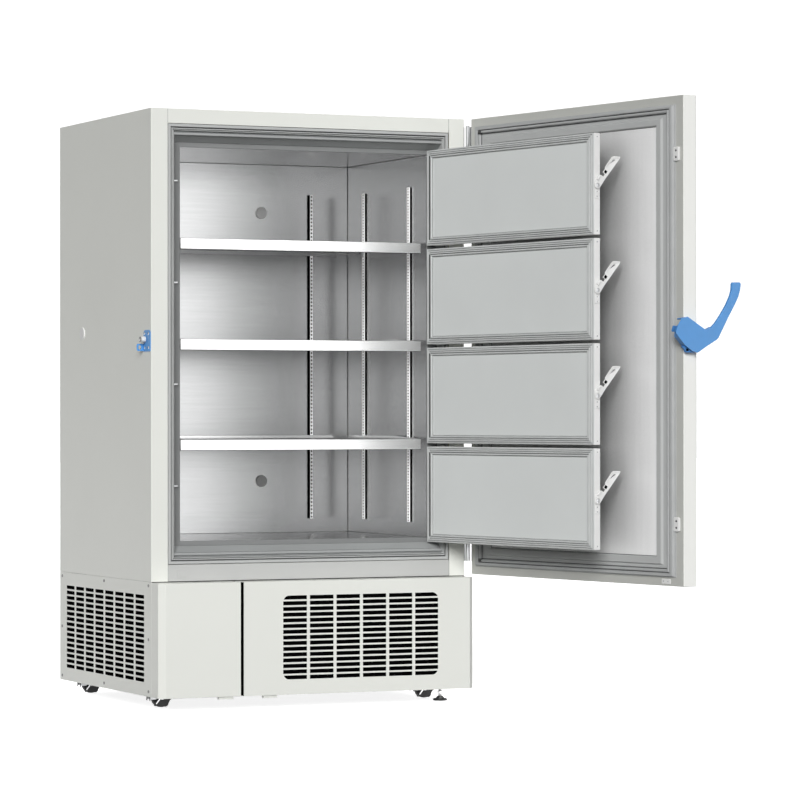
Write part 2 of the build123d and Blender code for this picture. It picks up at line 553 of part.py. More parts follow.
PIN_X, PIN_Y = 563.0, -468.0     # hinge of the service door
with BuildPart() as base_frame:
    for s in (-1, 1):
        block((s * 540, s * 440) if s < 0 else (440, 540), (-430, 452), (90, 120))
        for yb in (-1, 1):
            ys = (-452, -412) if yb < 0 else (412, 452)
            block((s * 530, s * 490) if s < 0 else (490, 530), ys, (120.2, Z_DECK - 0.2))
    block((-439.8, 439.8), (-430, -396), (90, 120))
    block((-439.8, 439.8), (412, 452), (90, 120))
    block((-439.8, 439.8), (-395.8, 411.8), (90, 93))
    # caster plates
    for name, (xs, ys) in SW.items():
        block((xs - 36, xs + 36), (ys - 36, ys + 36), (84, 90))
        rod_z(xs, ys, (83, 90), 10.06, mode=Mode.SUBTRACT)
    # nut plate of the levelling foot
    block((450, 514), (-457, -429.5), (92, 106))
    rod_z(FOOT_X, FOOT_Y, (85, 112), 6.06, mode=Mode.SUBTRACT)
    # hinge brackets and pins of the service door
    for z0, z1, p0, p1 in ((50, 53, 44.4, 53), (414, 417, 414, 423.6)):
        block((500, PIN_X), (PIN_Y - 6, -452), (z0, z1))
        block((531, 600), (-463.5, -440), (z0 - 1, z1 + 1), mode=Mode.SUBTRACT)
        rod_z(PIN_X, PIN_Y, (z0, z1), 6.0)
        rod_z(PIN_X, PIN_Y, (p0, p1), 4.0)
    block((500, 530), (-455, -452), (50, 160))
    block((500, 530), (-455, -452), (330, 417))
save(base_frame, "base_frame")

# slotted side panels and slotted rear panel
SIDE_ROWS, SIDE_COLS = 16, 8
with BuildPart() as base_panels:
    block((-HALF_W, -HALF_W + 1.5), (-455.0, Y_BACK), (BASE_Z0, Z_DECK - 0.6))
    block((HALF_W - 1.5, HALF_W), (-455.0, Y_BACK), (BASE_Z0, Z_DECK - 0.6))
    block((-HALF_W + 1.8, HALF_W - 1.8), (Y_BACK - 1.5, Y_BACK), (BASE_Z0, Z_DECK - 0.6))
    with BuildSketch(Plane.YZ.offset(-HALF_W - 1)):
        with Locations((0.2, 235.0)):
            with GridLocations(98.6, 18.4, SIDE_COLS, SIDE_ROWS):
                RectangleRounded(85, 12.2, 2.5)
    extrude(amount=2 * HALF_W + 2, mode=Mode.SUBTRACT)
    with BuildSketch(Plane.XZ.offset(-Y_BACK - 1)):
        with Locations((60, 235.0)):
            with GridLocations(98.6, 18.4, 8, 16):
                RectangleRounded(85, 12.2, 2.5)
        with Locations((-420, 235)):
            Rectangle(50, 30)
    extrude(amount=6, mode=Mode.SUBTRACT)
save(base_panels, "base_panels")

with BuildPart() as base_screws:
    for s in (-1, 1):
        for (y, z) in ((430, 411), (0, 411), (-430, 412), (430, 234), (-430, 234), (430, 61), (0, 62), (-430, 62)):
            xs = (-HALF_W - 1.8, -HALF_W) if s < 0 else (HALF_W, HALF_W + 1.8)
            rod_x(xs, y, z, 5.0)
save(base_screws, "base_screws")


def cover_profile(x0, x1, y0, y1, c, side):
    """Plan of a folded lower cover; side is the chamfered end."""
    if side < 0:
        Polygon((x0, y1), (x0, y0 + c), (x0 + c, y0), (x1, y0), (x1, y1), align=None)
    else:
        Polygon((x0, y1), (x0, y0), (x1 - c, y0), (x1, y0 + c), (x1, y1), align=None)


with BuildPart() as front_cover:
    with BuildSketch(Plane.XY.offset(BASE_Z0)):
        cover_profile(-COVER_X, -287.9, Y_COVER, -456.5, COVER_CH, -1)
    extrude(amount=BASE_Z1 - BASE_Z0)
    with BuildSketch(Plane.XY.offset(BASE_Z0 + 1.5)):
        cover_profile(-COVER_X + 1.5, -289.4, Y_COVER + 1.5, -450, COVER_CH - 0.6, -1)
    extrude(amount=BASE_Z1 - BASE_Z0 - 3, mode=Mode.SUBTRACT)
    # spring tab under the lower edge
    block((-364, -312), (-533, -518), (36, BASE_Z0 + 0.5))
save(front_cover, "front_cover")

GR_X, GR_Z, GR_W, GR_H = 148.7, 235.2, 569.7, 279.0
with BuildPart() as service_door:
    with BuildSketch(Plane.XY.offset(BASE_Z0)):
        cover_profile(-276.8, COVER_X, Y_COVER, -460, COVER_CH, 1)
    extrude(amount=BASE_Z1 - BASE_Z0)
    with BuildSketch(Plane.XY.offset(BASE_Z0 + 1.5)):
        cover_profile(-275.3, COVER_X - 1.5, Y_COVER + 1.5, -450, COVER_CH - 0.6, 1)
    extrude(amount=BASE_Z1 - BASE_Z0 - 3, mode=Mode.SUBTRACT)
    with BuildSketch(Plane.XZ.offset(-Y_COVER + 1)):
        with Locations((GR_X, GR_Z)):
            with GridLocations((GR_W + 10.6) / 6, (GR_H - 13.2) / 14, 6, 15):
                Rectangle((GR_W + 10.6) / 6 - 10.6, 13.2)
        with Locations((GR_X, GR_Z)):
            RectangleRounded(GR_W, GR_H, 22, mode=Mode.INTERSECT)
    extrude(amount=-4, mode=Mode.SUBTRACT)
    rod_z(PIN_X, PIN_Y, (BASE_Z0 - 1, BASE_Z0 + 3), 4.06, mode=Mode.SUBTRACT)
    rod_z(PIN_X, PIN_Y, (BASE_Z1 - 3, BASE_Z1 + 1), 4.06, mode=Mode.SUBTRACT)
    block((-204.5, -156.5), (-533, -518), (36, BASE_Z0 + 0.5))
save(service_door, "service_door")

with BuildPart() as air_filter:
    block((GR_X - 300, GR_X + 300), (Y_COVER + 1.8, Y_COVER + 13), (GR_Z - 152, GR_Z + 152))
    block((GR_X - 292, GR_X + 292), (Y_COVER + 9, Y_COVER + 14), (GR_Z - 144, GR_Z + 144), mode=Mode.SUBTRACT)
save(air_filter, "air_filter")

# refrigeration set
with BuildPart() as compressors:
    for x, y in ((-250, 190), (40, 190)):
        rod_z(x, y, (104, 300), 82)
    fillet(compressors.edges().filter_by(GeomType.CIRCLE).group_by(Axis.Z)[-1], 45)
    fillet(compressors.edges().filter_by(GeomType.CIRCLE).group_by(Axis.Z)[0], 20)
    for x, y in ((-250, 190), (40, 190)):
        block((x - 90, x + 90), (y - 60, y + 60), (93, 106))
        rod_x((x + 70, x + 120), y, 190, 8)
save(compressors, "compressors")

with BuildPart() as condenser:
    block((-110, 430), (-444, -398), (124, 400))
    with BuildSketch(Plane.XZ.offset(445)):
        with Locations((160, 262)):
            with GridLocations(1, 12, 1, 22):
                Rectangle(520, 5)
    extrude(amount=-14, mode=Mode.SUBTRACT)
    block((-116, -110), (-448, -398), (120.2, 404))
    block((430, 436), (-448, -398), (120.2, 404))
save(condenser, "condenser")

FAN_X, FAN_Z = 160.0, 262.0
with BuildPart() as fan_motor:
    block((-110, 430), (-397.8, -394.8), (124, 400))
    rod_y(FAN_X, (-399, -393), FAN_Z, 128, mode=Mode.SUBTRACT)
    rod_y(FAN_X, (-332, -262), FAN_Z, 42)
    rod_y(FAN_X, (-386, -331), FAN_Z, 5)
    block((FAN_X - 139, FAN_X + 139), (-334, -328), (FAN_Z - 8, FAN_Z + 8))
    block((FAN_X - 139, FAN_X - 132), (-396, -328), (FAN_Z - 8, FAN_Z + 8))
    block((FAN_X + 132, FAN_X + 139), (-396, -328), (FAN_Z - 8, FAN_Z + 8))
save(fan_motor, "fan_motor")

fan_plane = Plane(origin=(FAN_X, -368, FAN_Z), x_dir=(1, 0, 0), z_dir=(0, -1, 0))
with BuildPart(fan_plane) as condenser_fan:
    Cylinder(30, 30)
    with PolarLocations(0, 5):
        with Locations(Location((74, 0, 0), (28, 0, 0))):
            Box(92, 54, 3)
    Cylinder(5.06, 60, mode=Mode.SUBTRACT)
save(condenser_fan, "condenser_fan")

with BuildPart() as control_box:
    block((-540, -340), (-400, -150), (140, 400))
    fillet(control_box.edges().filter_by(Axis.Z), 6)
    block((-545, -335), (-405, -145), (400, 404))
save(control_box, "control_box")

with BuildPart() as power_inlet:
    block((-450, -390), (Y_BACK, Y_BACK + 3), (212, 258))
    fillet(power_inlet.edges().filter_by(Axis.Y), 5)
    block((-444.5, -395.5), (Y_BACK - 34, Y_BACK), (220.5, 249.5))
    block((-437, -403), (Y_BACK - 18, Y_BACK + 4), (224, 246), mode=Mode.SUBTRACT)
    for x in (-429, -420, -411):
        block((x - 1, x + 1), (Y_BACK - 20, Y_BACK - 4), (233, 238))
save(power_inlet, "power_inlet")

# ------------------------------------------------------------ casters, foot
for name, (xw, yw, brake) in CASTERS.items():
    xs, ys = SW[name]
    with BuildPart() as caster_fork:
        rod_z(xs, ys, (76, 83.6), 27)
        rod_z(xs, ys, (83, 89.6), 10.0)
        for s in (-1, 1):
            y0 = ys + (13 if s > 0 else -16)
            with BuildSketch(Plane.XZ.offset(-(y0 + 3))):
                Polygon((xs - 18, 77), (xs + 22, 77), (xw + 13, 38), (xw + 11, 25), (xw, 19.5), (xw - 11, 25),
                        (xw - 14, 40), align=None)
            extrude(amount=3)
        block((xs - 18, xs + 22), (ys - 16, ys + 16), (74, 77))
        rod_y(xw, (ys - 17.5, ys + 17.5), WHEEL_R, 4.0)
        if brake:
            for s in (-1, 1):
                yb = (ys + 13, ys + 16) if s > 0 else (ys - 16, ys - 13)
                block((xw + 4, xw + 58), yb, (28, 38))
            block((xw + 36, xw + 58), (ys - 16, ys + 16), (30, 36))
    save(caster_fork, "caster_fork_" + name)

    with BuildPart() as caster_wheel:
        rod_y(xw, (yw - WHEEL_W / 2, yw + WHEEL_W / 2), WHEEL_R, WHEEL_R)
        fillet(caster_wheel.edges().filter_by(GeomType.CIRCLE), 3.0)
        for y0, y1 in ((yw - WHEEL_W / 2 - 1, yw - WHEEL_W / 2 + 2.5), (yw + WHEEL_W / 2 - 2.5, yw + WHEEL_W / 2 + 1)):
            rod_y(xw, (y0, y1), WHEEL_R, 22, mode=Mode.SUBTRACT)
            rod_y(xw, (max(y0, yw - WHEEL_W / 2), min(y1, yw + WHEEL_W / 2)), WHEEL_R, 9)
        rod_y(xw, (yw - 20, yw + 20), WHEEL_R, 4.06, mode=Mode.SUBTRACT)
    save(caster_wheel, "caster_wheel_" + name)

with BuildPart() as levelling_foot:
    rod_z(FOOT_X, FOOT_Y, (0, 7), 24)
    fillet(levelling_foot.edges().filter_by(GeomType.CIRCLE).group_by(Axis.Z)[-1], 2.5)
    with BuildSketch(Plane.XY.offset(7)):
        with Locations((FOOT_X, FOOT_Y)):
            Circle(16)
    extrude(amount=9, taper=40)
    rod_z(FOOT_X, FOOT_Y, (7, 112), 6.0)
    with BuildSketch(Plane.XY.offset(24)):
        with Locations((FOOT_X, FOOT_Y)):
            RegularPolygon(11, 6)
    extrude(amount=8)
save(levelling_foot, "levelling_foot")
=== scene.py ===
from math import sin, cos, tan, radians, pi, atan2, sqrt

import bmesh
import bpy
from mathutils import Matrix, Vector
from mathutils.geometry import tessellate_polygon


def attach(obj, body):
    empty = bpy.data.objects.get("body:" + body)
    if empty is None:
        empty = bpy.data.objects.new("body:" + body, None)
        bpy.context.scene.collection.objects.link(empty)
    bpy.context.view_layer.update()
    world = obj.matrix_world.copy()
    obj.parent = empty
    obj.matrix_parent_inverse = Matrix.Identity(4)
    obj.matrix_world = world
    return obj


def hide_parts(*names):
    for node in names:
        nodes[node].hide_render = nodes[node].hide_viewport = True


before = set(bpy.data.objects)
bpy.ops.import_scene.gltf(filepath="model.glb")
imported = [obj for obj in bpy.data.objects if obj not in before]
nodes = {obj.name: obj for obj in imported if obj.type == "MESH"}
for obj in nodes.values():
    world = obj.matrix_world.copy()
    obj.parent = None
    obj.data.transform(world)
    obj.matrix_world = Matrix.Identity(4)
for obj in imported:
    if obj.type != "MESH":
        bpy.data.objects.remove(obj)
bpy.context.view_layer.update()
scene = bpy.context.scene
MM = 0.001

# ------------------------------------------------------------------- frames
def door_frame(ox, oy, deg):
    """Local (along, outwards, up) of a door opened by deg about (ox, oy)."""
    t = radians(deg)
    return Matrix(((-cos(t), sin(t), 0, ox), (-sin(t), -cos(t), 0, oy), (0, 0, 1, 0), (0, 0, 0, 1)))


WORLD = Matrix.Identity(4)
DOOR = door_frame(582.2, -462.9, 100.2)
INNER = door_frame(463.2, -429.0, 99.8)

# ---------------------------------------------------------------- materials
def link(nt, a, b):
    nt.links.new(a, b)


def material(name, color, rough=0.5, metal=0.0, var=0.03, vscale=4.0, rvar=0.08, rscale=30.0,
             bump=0.03, bscale=500.0, spec=0.5, coat=0.0, stretch=(1, 1, 1), detail=3.0, bdist=0.0004):
    """Principled surface with colour drift, roughness drift and a fine relief."""
    m = bpy.data.materials.new(name)
    m.use_nodes = True
    nt = m.node_tree
    nt.nodes.clear()
    out = nt.nodes.new("ShaderNodeOutputMaterial")
    p = nt.nodes.new("ShaderNodeBsdfPrincipled")
    link(nt, p.outputs["BSDF"], out.inputs["Surface"])
    p.inputs["Metallic"].default_value = metal
    p.inputs["Specular IOR Level"].default_value = spec
    if coat:
        p.inputs["Coat Weight"].default_value = coat
        p.inputs["Coat Roughness"].default_value = 0.15
    tc = nt.nodes.new("ShaderNodeTexCoord")
    mp = nt.nodes.new("ShaderNodeMapping")
    mp.inputs["Scale"].default_value = stretch
    link(nt, tc.outputs["Object"], mp.inputs["Vector"])
    n1 = nt.nodes.new("ShaderNodeTexNoise")
    n1.inputs["Scale"].default_value = vscale
    n1.inputs["Detail"].default_value = 5.0
    link(nt, mp.outputs["Vector"], n1.inputs["Vector"])
    ramp = nt.nodes.new("ShaderNodeValToRGB")
    ramp.color_ramp.elements[0].position = 0.3
    ramp.color_ramp.elements[1].position = 0.7
    ramp.color_ramp.elements[0].color = [max(0.0, c * (1 - var)) for c in color] + [1]
    ramp.color_ramp.elements[1].color = [min(1.0, c * (1 + var)) for c in color] + [1]
    link(nt, n1.outputs["Fac"], ramp.inputs["Fac"])
    link(nt, ramp.outputs["Color"], p.inputs["Base Color"])
    n2 = nt.nodes.new("ShaderNodeTexNoise")
    n2.inputs["Scale"].default_value = rscale
    n2.inputs["Detail"].default_value = detail
    link(nt, mp.outputs["Vector"], n2.inputs["Vector"])
    mr = nt.nodes.new("ShaderNodeMapRange")
    mr.inputs["To Min"].default_value = max(0.02, rough - rvar)
    mr.inputs["To Max"].default_value = min(1.0, rough + rvar)
    link(nt, n2.outputs["Fac"], mr.inputs["Value"])
    link(nt, mr.outputs["Result"], p.inputs["Roughness"])
    if bump:
        n3 = nt.nodes.new("ShaderNodeTexNoise")
        n3.inputs["Scale"].default_value = bscale
        n3.inputs["Detail"].default_value = detail
        link(nt, mp.outputs["Vector"], n3.inputs["Vector"])
        bp = nt.nodes.new("ShaderNodeBump")
        bp.inputs["Strength"].default_value = bump
        bp.inputs["Distance"].default_value = bdist
        link(nt, n3.outputs["Fac"], bp.inputs["Height"])
        link(nt, bp.outputs["Normal"], p.inputs["Normal"])
    return m


PAINT = material("off_white_powder_coat", (0.79, 0.80, 0.755), 0.42, var=0.012, vscale=2.0, bump=0.06, bscale=900)
DOORPAINT = material("door_powder_coat", (0.79, 0.80, 0.755), 0.42, var=0.012, vscale=2.0, bump=0.06, bscale=900)
SHELF = material("shelf_sheet_steel", (0.80, 0.80, 0.80), 0.24, metal=1.0, var=0.03, vscale=5.0, rvar=0.05, rscale=40,
                 bump=0.02, bscale=60, stretch=(1, 1, 24), bdist=0.0002)
# darker copy of the shelf steel for the sheet, ribs and rear flanges: painted shade under the lip
SHELF_STEEL_SHADE = material("shelf_steel_painted_shade", (0.40, 0.40, 0.405), 0.30, metal=1.0, var=0.04, vscale=5.0, rvar=0.05, rscale=40,
                      bump=0.02, bscale=60, stretch=(1, 1, 24), bdist=0.0002)
STEEL = material("brushed_stainless", (0.465, 0.468, 0.47), 0.23, metal=1.0, var=0.03, vscale=4.0, rvar=0.04, rscale=40,
                 bump=0.02, bscale=60, stretch=(1, 1, 30), bdist=0.0002)
DOORSTEEL = material("door_panel_sheet_painted_shade", (0.97, 0.97, 0.97), 0.32, metal=0.12, var=0.02, vscale=3.0, rvar=0.06, rscale=60,
                     bump=0.03, bscale=90, stretch=(20, 20, 1), bdist=0.0002)
# darker copy of the paint for the sill's front: painted shade
SILL_PAINT_SHADE = material("sill_paint_painted_shade", (0.50, 0.505, 0.495), 0.36, var=0.02, vscale=2.0, bump=0.05, bscale=700)
# lighter copy of the door paint for its free edge: painted highlight
DOOR_PAINT_LIT = material("door_edge_painted_highlight", (0.97, 0.975, 0.94), 0.40, var=0.012, vscale=2.0, bump=0.05, bscale=900)
# darker copy of the door paint for its inner face: painted shade
DOOR_PAINT_SHADE = material("door_inner_face_painted_shade", (0.52, 0.525, 0.495), 0.42, var=0.02, vscale=2.0, bump=0.06, bscale=900)
DOORGREY = material("door_liner_grey", (0.46, 0.47, 0.467), 0.42, var=0.02, vscale=4.0, bump=0.04, bscale=700)
# the ledge and the infills are darker copies of the moulding's grey: painted shade inside the opening
LEDGE_GREY_SHADE = material("ledge_painted_shade_grey", (0.20, 0.205, 0.205), 0.5, var=0.04, vscale=5.0, bump=0.05, bscale=800)
INFILL_GREY_SHADE = material("infill_painted_shade_grey", (0.34, 0.35, 0.35), 0.48, var=0.04, vscale=5.0, bump=0.05, bscale=800)
PERF_GLOW = material("perforated_strip_painted_glow", (0.86, 0.86, 0.85), 0.35, var=0.04, vscale=40.0, bump=0.05, bscale=900)
BREAKER = material("moulded_grey_plastic", (0.47, 0.48, 0.475), 0.45, var=0.03, vscale=5.0, bump=0.05, bscale=800)
INPANEL = material("inner_door_panel", (0.765, 0.79, 0.78), 0.38, var=0.02, vscale=3.0, bump=0.04, bscale=600)
WHITE = material("white_moulded_plastic", (0.80, 0.80, 0.79), 0.34, var=0.02, vscale=12.0, bump=0.05, bscale=900)
GASKET = material("soft_grey_gasket", (0.42, 0.43, 0.43), 0.62, var=0.05, vscale=14.0, bump=0.10, bscale=700)
INGASKET = material("inner_door_gasket", (0.60, 0.615, 0.61), 0.55, var=0.05, vscale=14.0, bump=0.08, bscale=700)
FOAM = material("rigid_foam", (0.78, 0.70, 0.45), 0.85, var=0.10, vscale=40, bump=0.4, bscale=300)
BLUE = material("satin_blue", (0.088, 0.315, 0.70), 0.36, var=0.04, vscale=20, bump=0.05, bscale=1200, coat=0.15)
# darker copy of the handle's blue for its flanks, hub, rims and clip: painted shade
BLUE_PAINT_SHADE = material("blue_handle_painted_shade", (0.055, 0.215, 0.51), 0.40, var=0.05, vscale=20, bump=0.05, bscale=1200)
DEEPBLUE = material("deep_blue_paint", (0.045, 0.155, 0.36), 0.40, var=0.05, vscale=20, bump=0.05, bscale=1200)
ZINC = material("zinc_plate", (0.62, 0.63, 0.64), 0.34, metal=1.0, var=0.07, vscale=40, rvar=0.10, rscale=90, bump=0.06, bscale=900)
CHROME = material("bright_plate", (0.80, 0.80, 0.80), 0.16, metal=1.0, var=0.04, vscale=30, rvar=0.05, rscale=90, bump=0.02, bscale=900)
DARKZINC = material("dark_screw_steel", (0.22, 0.22, 0.22), 0.40, metal=0.8, var=0.10, vscale=80, bump=0.05, bscale=900)
FRAMEGREY = material("dark_frame_paint", (0.030, 0.030, 0.031), 0.6, var=0.10, vscale=12, bump=0.06, bscale=700)
BOXGREY = material("control_box_paint", (0.06, 0.061, 0.063), 0.5, var=0.06, vscale=12, bump=0.06, bscale=700)
BLACK = material("black_moulded_plastic", (0.018, 0.018, 0.019), 0.42, var=0.15, vscale=30, bump=0.08, bscale=900)
BLACKPAINT = material("satin_black_paint", (0.016, 0.016, 0.016), 0.38, var=0.15, vscale=20, bump=0.05, bscale=900)
RUBBER = material("black_tread_rubber", (0.022, 0.022, 0.022), 0.68, var=0.15, vscale=60, bump=0.15, bscale=900)
FINS = material("condenser_fins", (0.35, 0.36, 0.37), 0.42, metal=1.0, var=0.10, vscale=60, bump=0.2, bscale=300, stretch=(12, 1, 1))
COPPER = material("copper_tube", (0.72, 0.36, 0.22), 0.30, metal=1.0, var=0.10, vscale=30, bump=0.04, bscale=700)
FILTER = material("filter_foam", (0.0012, 0.0012, 0.0013), 0.95, var=0.3, vscale=260, bump=0.5, bscale=420, spec=0.0, bdist=0.002)
HOLE = material("hole_shadow", (0.003, 0.003, 0.003), 0.9, var=0.2, vscale=60, bump=0.1, bscale=300, spec=0.0)
GROOVE = material("groove_shadow_grey", (0.10, 0.102, 0.102), 0.7, var=0.08, vscale=30, bump=0.1, bscale=500, spec=0.1)
SEAM = material("seam_sealant", (0.26, 0.265, 0.26), 0.6, var=0.08, vscale=40, bump=0.1, bscale=600)
GLASS = material("display_window", (0.012, 0.013, 0.016), 0.08, var=0.1, vscale=20, bump=0.0, coat=0.4)
KEYGREY = material("key_rubber", (0.30, 0.31, 0.33), 0.5, var=0.05, vscale=60, bump=0.06, bscale=900)


def led(name, color, strength):
    m = material(name, (0.02, 0.03, 0.03), 0.3, var=0.1, vscale=60, bump=0.0)
    p = m.node_tree.nodes["Principled BSDF"]
    p.inputs["Emission Color"].default_value = (*color, 1)
    p.inputs["Emission Strength"].default_value = strength
    return m


# the perforated strips glow a little: painted light that makes their faces read bright on the liner walls
PERF_GLOW.node_tree.nodes["Principled BSDF"].inputs["Emission Color"].default_value = (1, 1, 1, 1)
PERF_GLOW.node_tree.nodes["Principled BSDF"].inputs["Emission Strength"].default_value = 0.38
def paint_contact_shade(m, reach):
    """Painted shade: darkens the surface's colour where other parts stand close in front of it."""
    nt = m.node_tree
    p = nt.nodes["Principled BSDF"]
    ao = nt.nodes.new("ShaderNodeAmbientOcclusion")
    ao.samples = 8
    ao.inputs["Distance"].default_value = reach
    source = p.inputs["Base Color"].links[0].from_socket
    link(nt, source, ao.inputs["Color"])
    link(nt, ao.outputs["Color"], p.inputs["Base Color"])


# painted shade on the door's inner panel where the inner doors stand close in front of it
paint_contact_shade(DOORSTEEL, 0.19)
LED = led("display_segments", (0.35, 0.85, 1.0), 1.6)
LEDGREEN = led("status_lamp", (0.25, 1.0, 0.35), 1.2)

# --------------------------------------------------------------- mesh helpers
def take(bm):
    bm.verts.index_update()
    vs = [v.co.copy() for v in bm.verts]
    fs = [[v.index for v in f.verts] for f in bm.faces]
    bm.free()
    return vs, fs


def rbox(x, y, z, r=0.8, n=2):
    """Box between limits, its edges rounded."""
    bm = bmesh.new()
    bmesh.ops.create_cube(bm, size=1)
    for v in bm.verts:
        v.co = Vector((x[0] + (v.co.x + 0.5) * (x[1] - x[0]), y[0] + (v.co.y + 0.5) * (y[1] - y[0]),
                       z[0] + (v.co.z + 0.5) * (z[1] - z[0])))
    if r > 0:
        bmesh.ops.bevel(bm, geom=bm.edges[:], offset=r, segments=n, profile=0.5, affect="EDGES", clamp_overlap=True)
    return take(bm)


def ring(x, z, profile):
    """Mitred frame; profile points are (inset in x, inset in z, y)."""
    vs, fs = [], []
    k = len(profile)
    for dx, dz, y in profile:
        vs += [(x[0] + dx, y, z[0] + dz), (x[1] - dx, y, z[0] + dz), (x[1] - dx, y, z[1] - dz), (x[0] + dx, y, z[1] - dz)]
    for i in range(k):
        j = (i + 1) % k
        for c in range(4):
            d = (c + 1) % 4
            fs.append((4 * i + c, 4 * i + d, 4 * j + d, 4 * j + c))
    return vs, fs


def even(profile):
    return [(d, d, y) for d, y in profile]


def door_inset(profile):
    """Insets of the door's gasket and liner, wider at the stiles than at the rails."""
    table = ((0, 0, 0), (38, 37, 28.5), (59, 62, 42.5), (71, 76, 55.5), (74, 79, 58), (104, 100, 68), (113, 106, 72), (137, 124, 88), (144, 131, 95), (150, 137, 101))

    def at(d, k):
        for lo, hi in zip(table, table[1:]):
            if d <= hi[0]:
                return lo[k] + (hi[k] - lo[k]) * (d - lo[0]) / (hi[0] - lo[0])
        return table[-1][k]

    return [(at(d, 1), at(d, 2), y) for d, y in profile]


def area2(loop):
    return sum(loop[i - 1][0] * loop[i][1] - loop[i][0] * loop[i - 1][1] for i in range(len(loop)))


def wound(loop, ccw=True):
    loop = [Vector((p[0], p[1])) for p in loop]
    return loop if (area2(loop) > 0) == ccw else loop[::-1]


def inset(loop, d):
    """Loop moved by d to the left of its direction."""
    if d == 0:
        return loop
    out = []
    for i in range(len(loop)):
        p = loop[i]
        e0 = (p - loop[i - 1]).normalized()
        e1 = (loop[(i + 1) % len(loop)] - p).normalized()
        n0, n1 = Vector((-e0.y, e0.x)), Vector((-e1.y, e1.x))
        m = n0 + n1
        out.append(p + m * (d / max(0.35, m.dot(n0))))
    return out


def plate(outer, holes, lo, hi, bev=0.6, seg=2, lift="xhz"):
    """Flat plate with holes and rounded rims. lift puts the plane's (p, q) and height h into x, y, z."""
    place = {"xhz": lambda p, h: (p.x, h, p.y), "hxz": lambda p, h: (h, p.x, p.y), "xyh": lambda p, h: (p.x, p.y, h)}[lift]
    loops = [wound(outer)] + [wound(h, False) for h in holes]
    vs, fs = [], []
    caps = ([], [])
    for loop in loops:
        rows = []
        for s in range(seg + 1):
            t = s / seg * pi / 2 if seg else pi / 2
            rows.append((inset(loop, bev * (1 - sin(t))), lo + bev * (1 - cos(t))))
        for s in range(seg, -1, -1):
            t = s / seg * pi / 2 if seg else pi / 2
            rows.append((inset(loop, bev * (1 - sin(t))), hi - bev * (1 - cos(t))))
        n = len(loop)
        base = len(vs)
        for pts, h in rows:
            vs += [place(p, h) for p in pts]
        for r in range(len(rows) - 1):
            for i in range(n):
                j = (i + 1) % n
                fs.append((base + r * n + i, base + r * n + j, base + (r + 1) * n + j, base + (r + 1) * n + i))
        caps[0].append((rows[0][0], base))
        caps[1].append((rows[-1][0], base + (len(rows) - 1) * n))
    for cap in caps:
        flat = [b + i for pts, b in cap for i in range(len(pts))]
        for tri in tessellate_polygon([[Vector((p.x, p.y, 0)) for p in pts] for pts, b in cap]):
            fs.append([flat[i] for i in tri])
    return vs, fs


def lathe(profile, axis, centre, n=40, closed=False):
    """Turned shape from (radius, height) points about an axis through a centre."""
    def put(r, a, h):
        c, s = r * cos(a), r * sin(a)
        if axis == "z":
            return (centre[0] + c, centre[1] + s, h)
        if axis == "x":
            return (h, centre[1] + c, centre[2] + s)
        return (centre[0] + c, h, centre[2] + s)
    vs, rows, fs = [], [], []
    for r, h in profile:
        if r < 1e-6:
            rows.append([len(vs)])
            vs.append(put(0, 0, h))
        else:
            rows.append(list(range(len(vs), len(vs) + n)))
            vs += [put(r, 2 * pi * i / n, h) for i in range(n)]
    pairs = list(zip(rows, rows[1:])) + ([(rows[-1], rows[0])] if closed else [])
    for a, b in pairs:
        for i in range(n):
            j = (i + 1) % n
            q = [a[i % len(a)], a[j % len(a)], b[j % len(b)], b[i % len(b)]]
            q = list(dict.fromkeys(q))
            if len(q) > 2:
                fs.append(q)
    return vs, fs


def arc(cx, cy, r, a0, a1, n=8):
    return [(cx + r * cos(radians(a0 + (a1 - a0) * i / n)), cy + r * sin(radians(a0 + (a1 - a0) * i / n))) for i in range(n + 1)]


def rrect(x0, x1, y0, y1, r, n=5):
    return (arc(x1 - r, y0 + r, r, -90, 0, n) + arc(x1 - r, y1 - r, r, 0, 90, n) + arc(x0 + r, y1 - r, r, 90, 180, n)
            + arc(x0 + r, y0 + r, r, 180, 270, n))


def rounded(points, r, n=4):
    """Polygon with each corner rounded by r, or by its own radius as a third number."""
    out = []
    k = len(points)
    for i in range(k):
        p = Vector(points[i][:2])
        rr = points[i][2] if len(points[i]) > 2 else r
        a, b = Vector(points[i - 1][:2]) - p, Vector(points[(i + 1) % k][:2]) - p
        la, lb = a.length, b.length
        a.normalize()
        b.normalize()
        ang = a.angle(b)
        if rr <= 0 or ang > radians(176):
            out.append((p.x, p.y))
            continue
        t = min(rr / tan(ang / 2), 0.46 * la, 0.46 * lb)
        q0, q1 = p + a * t, p + b * t
        for s in range(n + 1):
            w = s / n
            c = q0 * (1 - w) ** 2 + p * 2 * w * (1 - w) + q1 * w ** 2
            out.append((c.x, c.y))
    return out


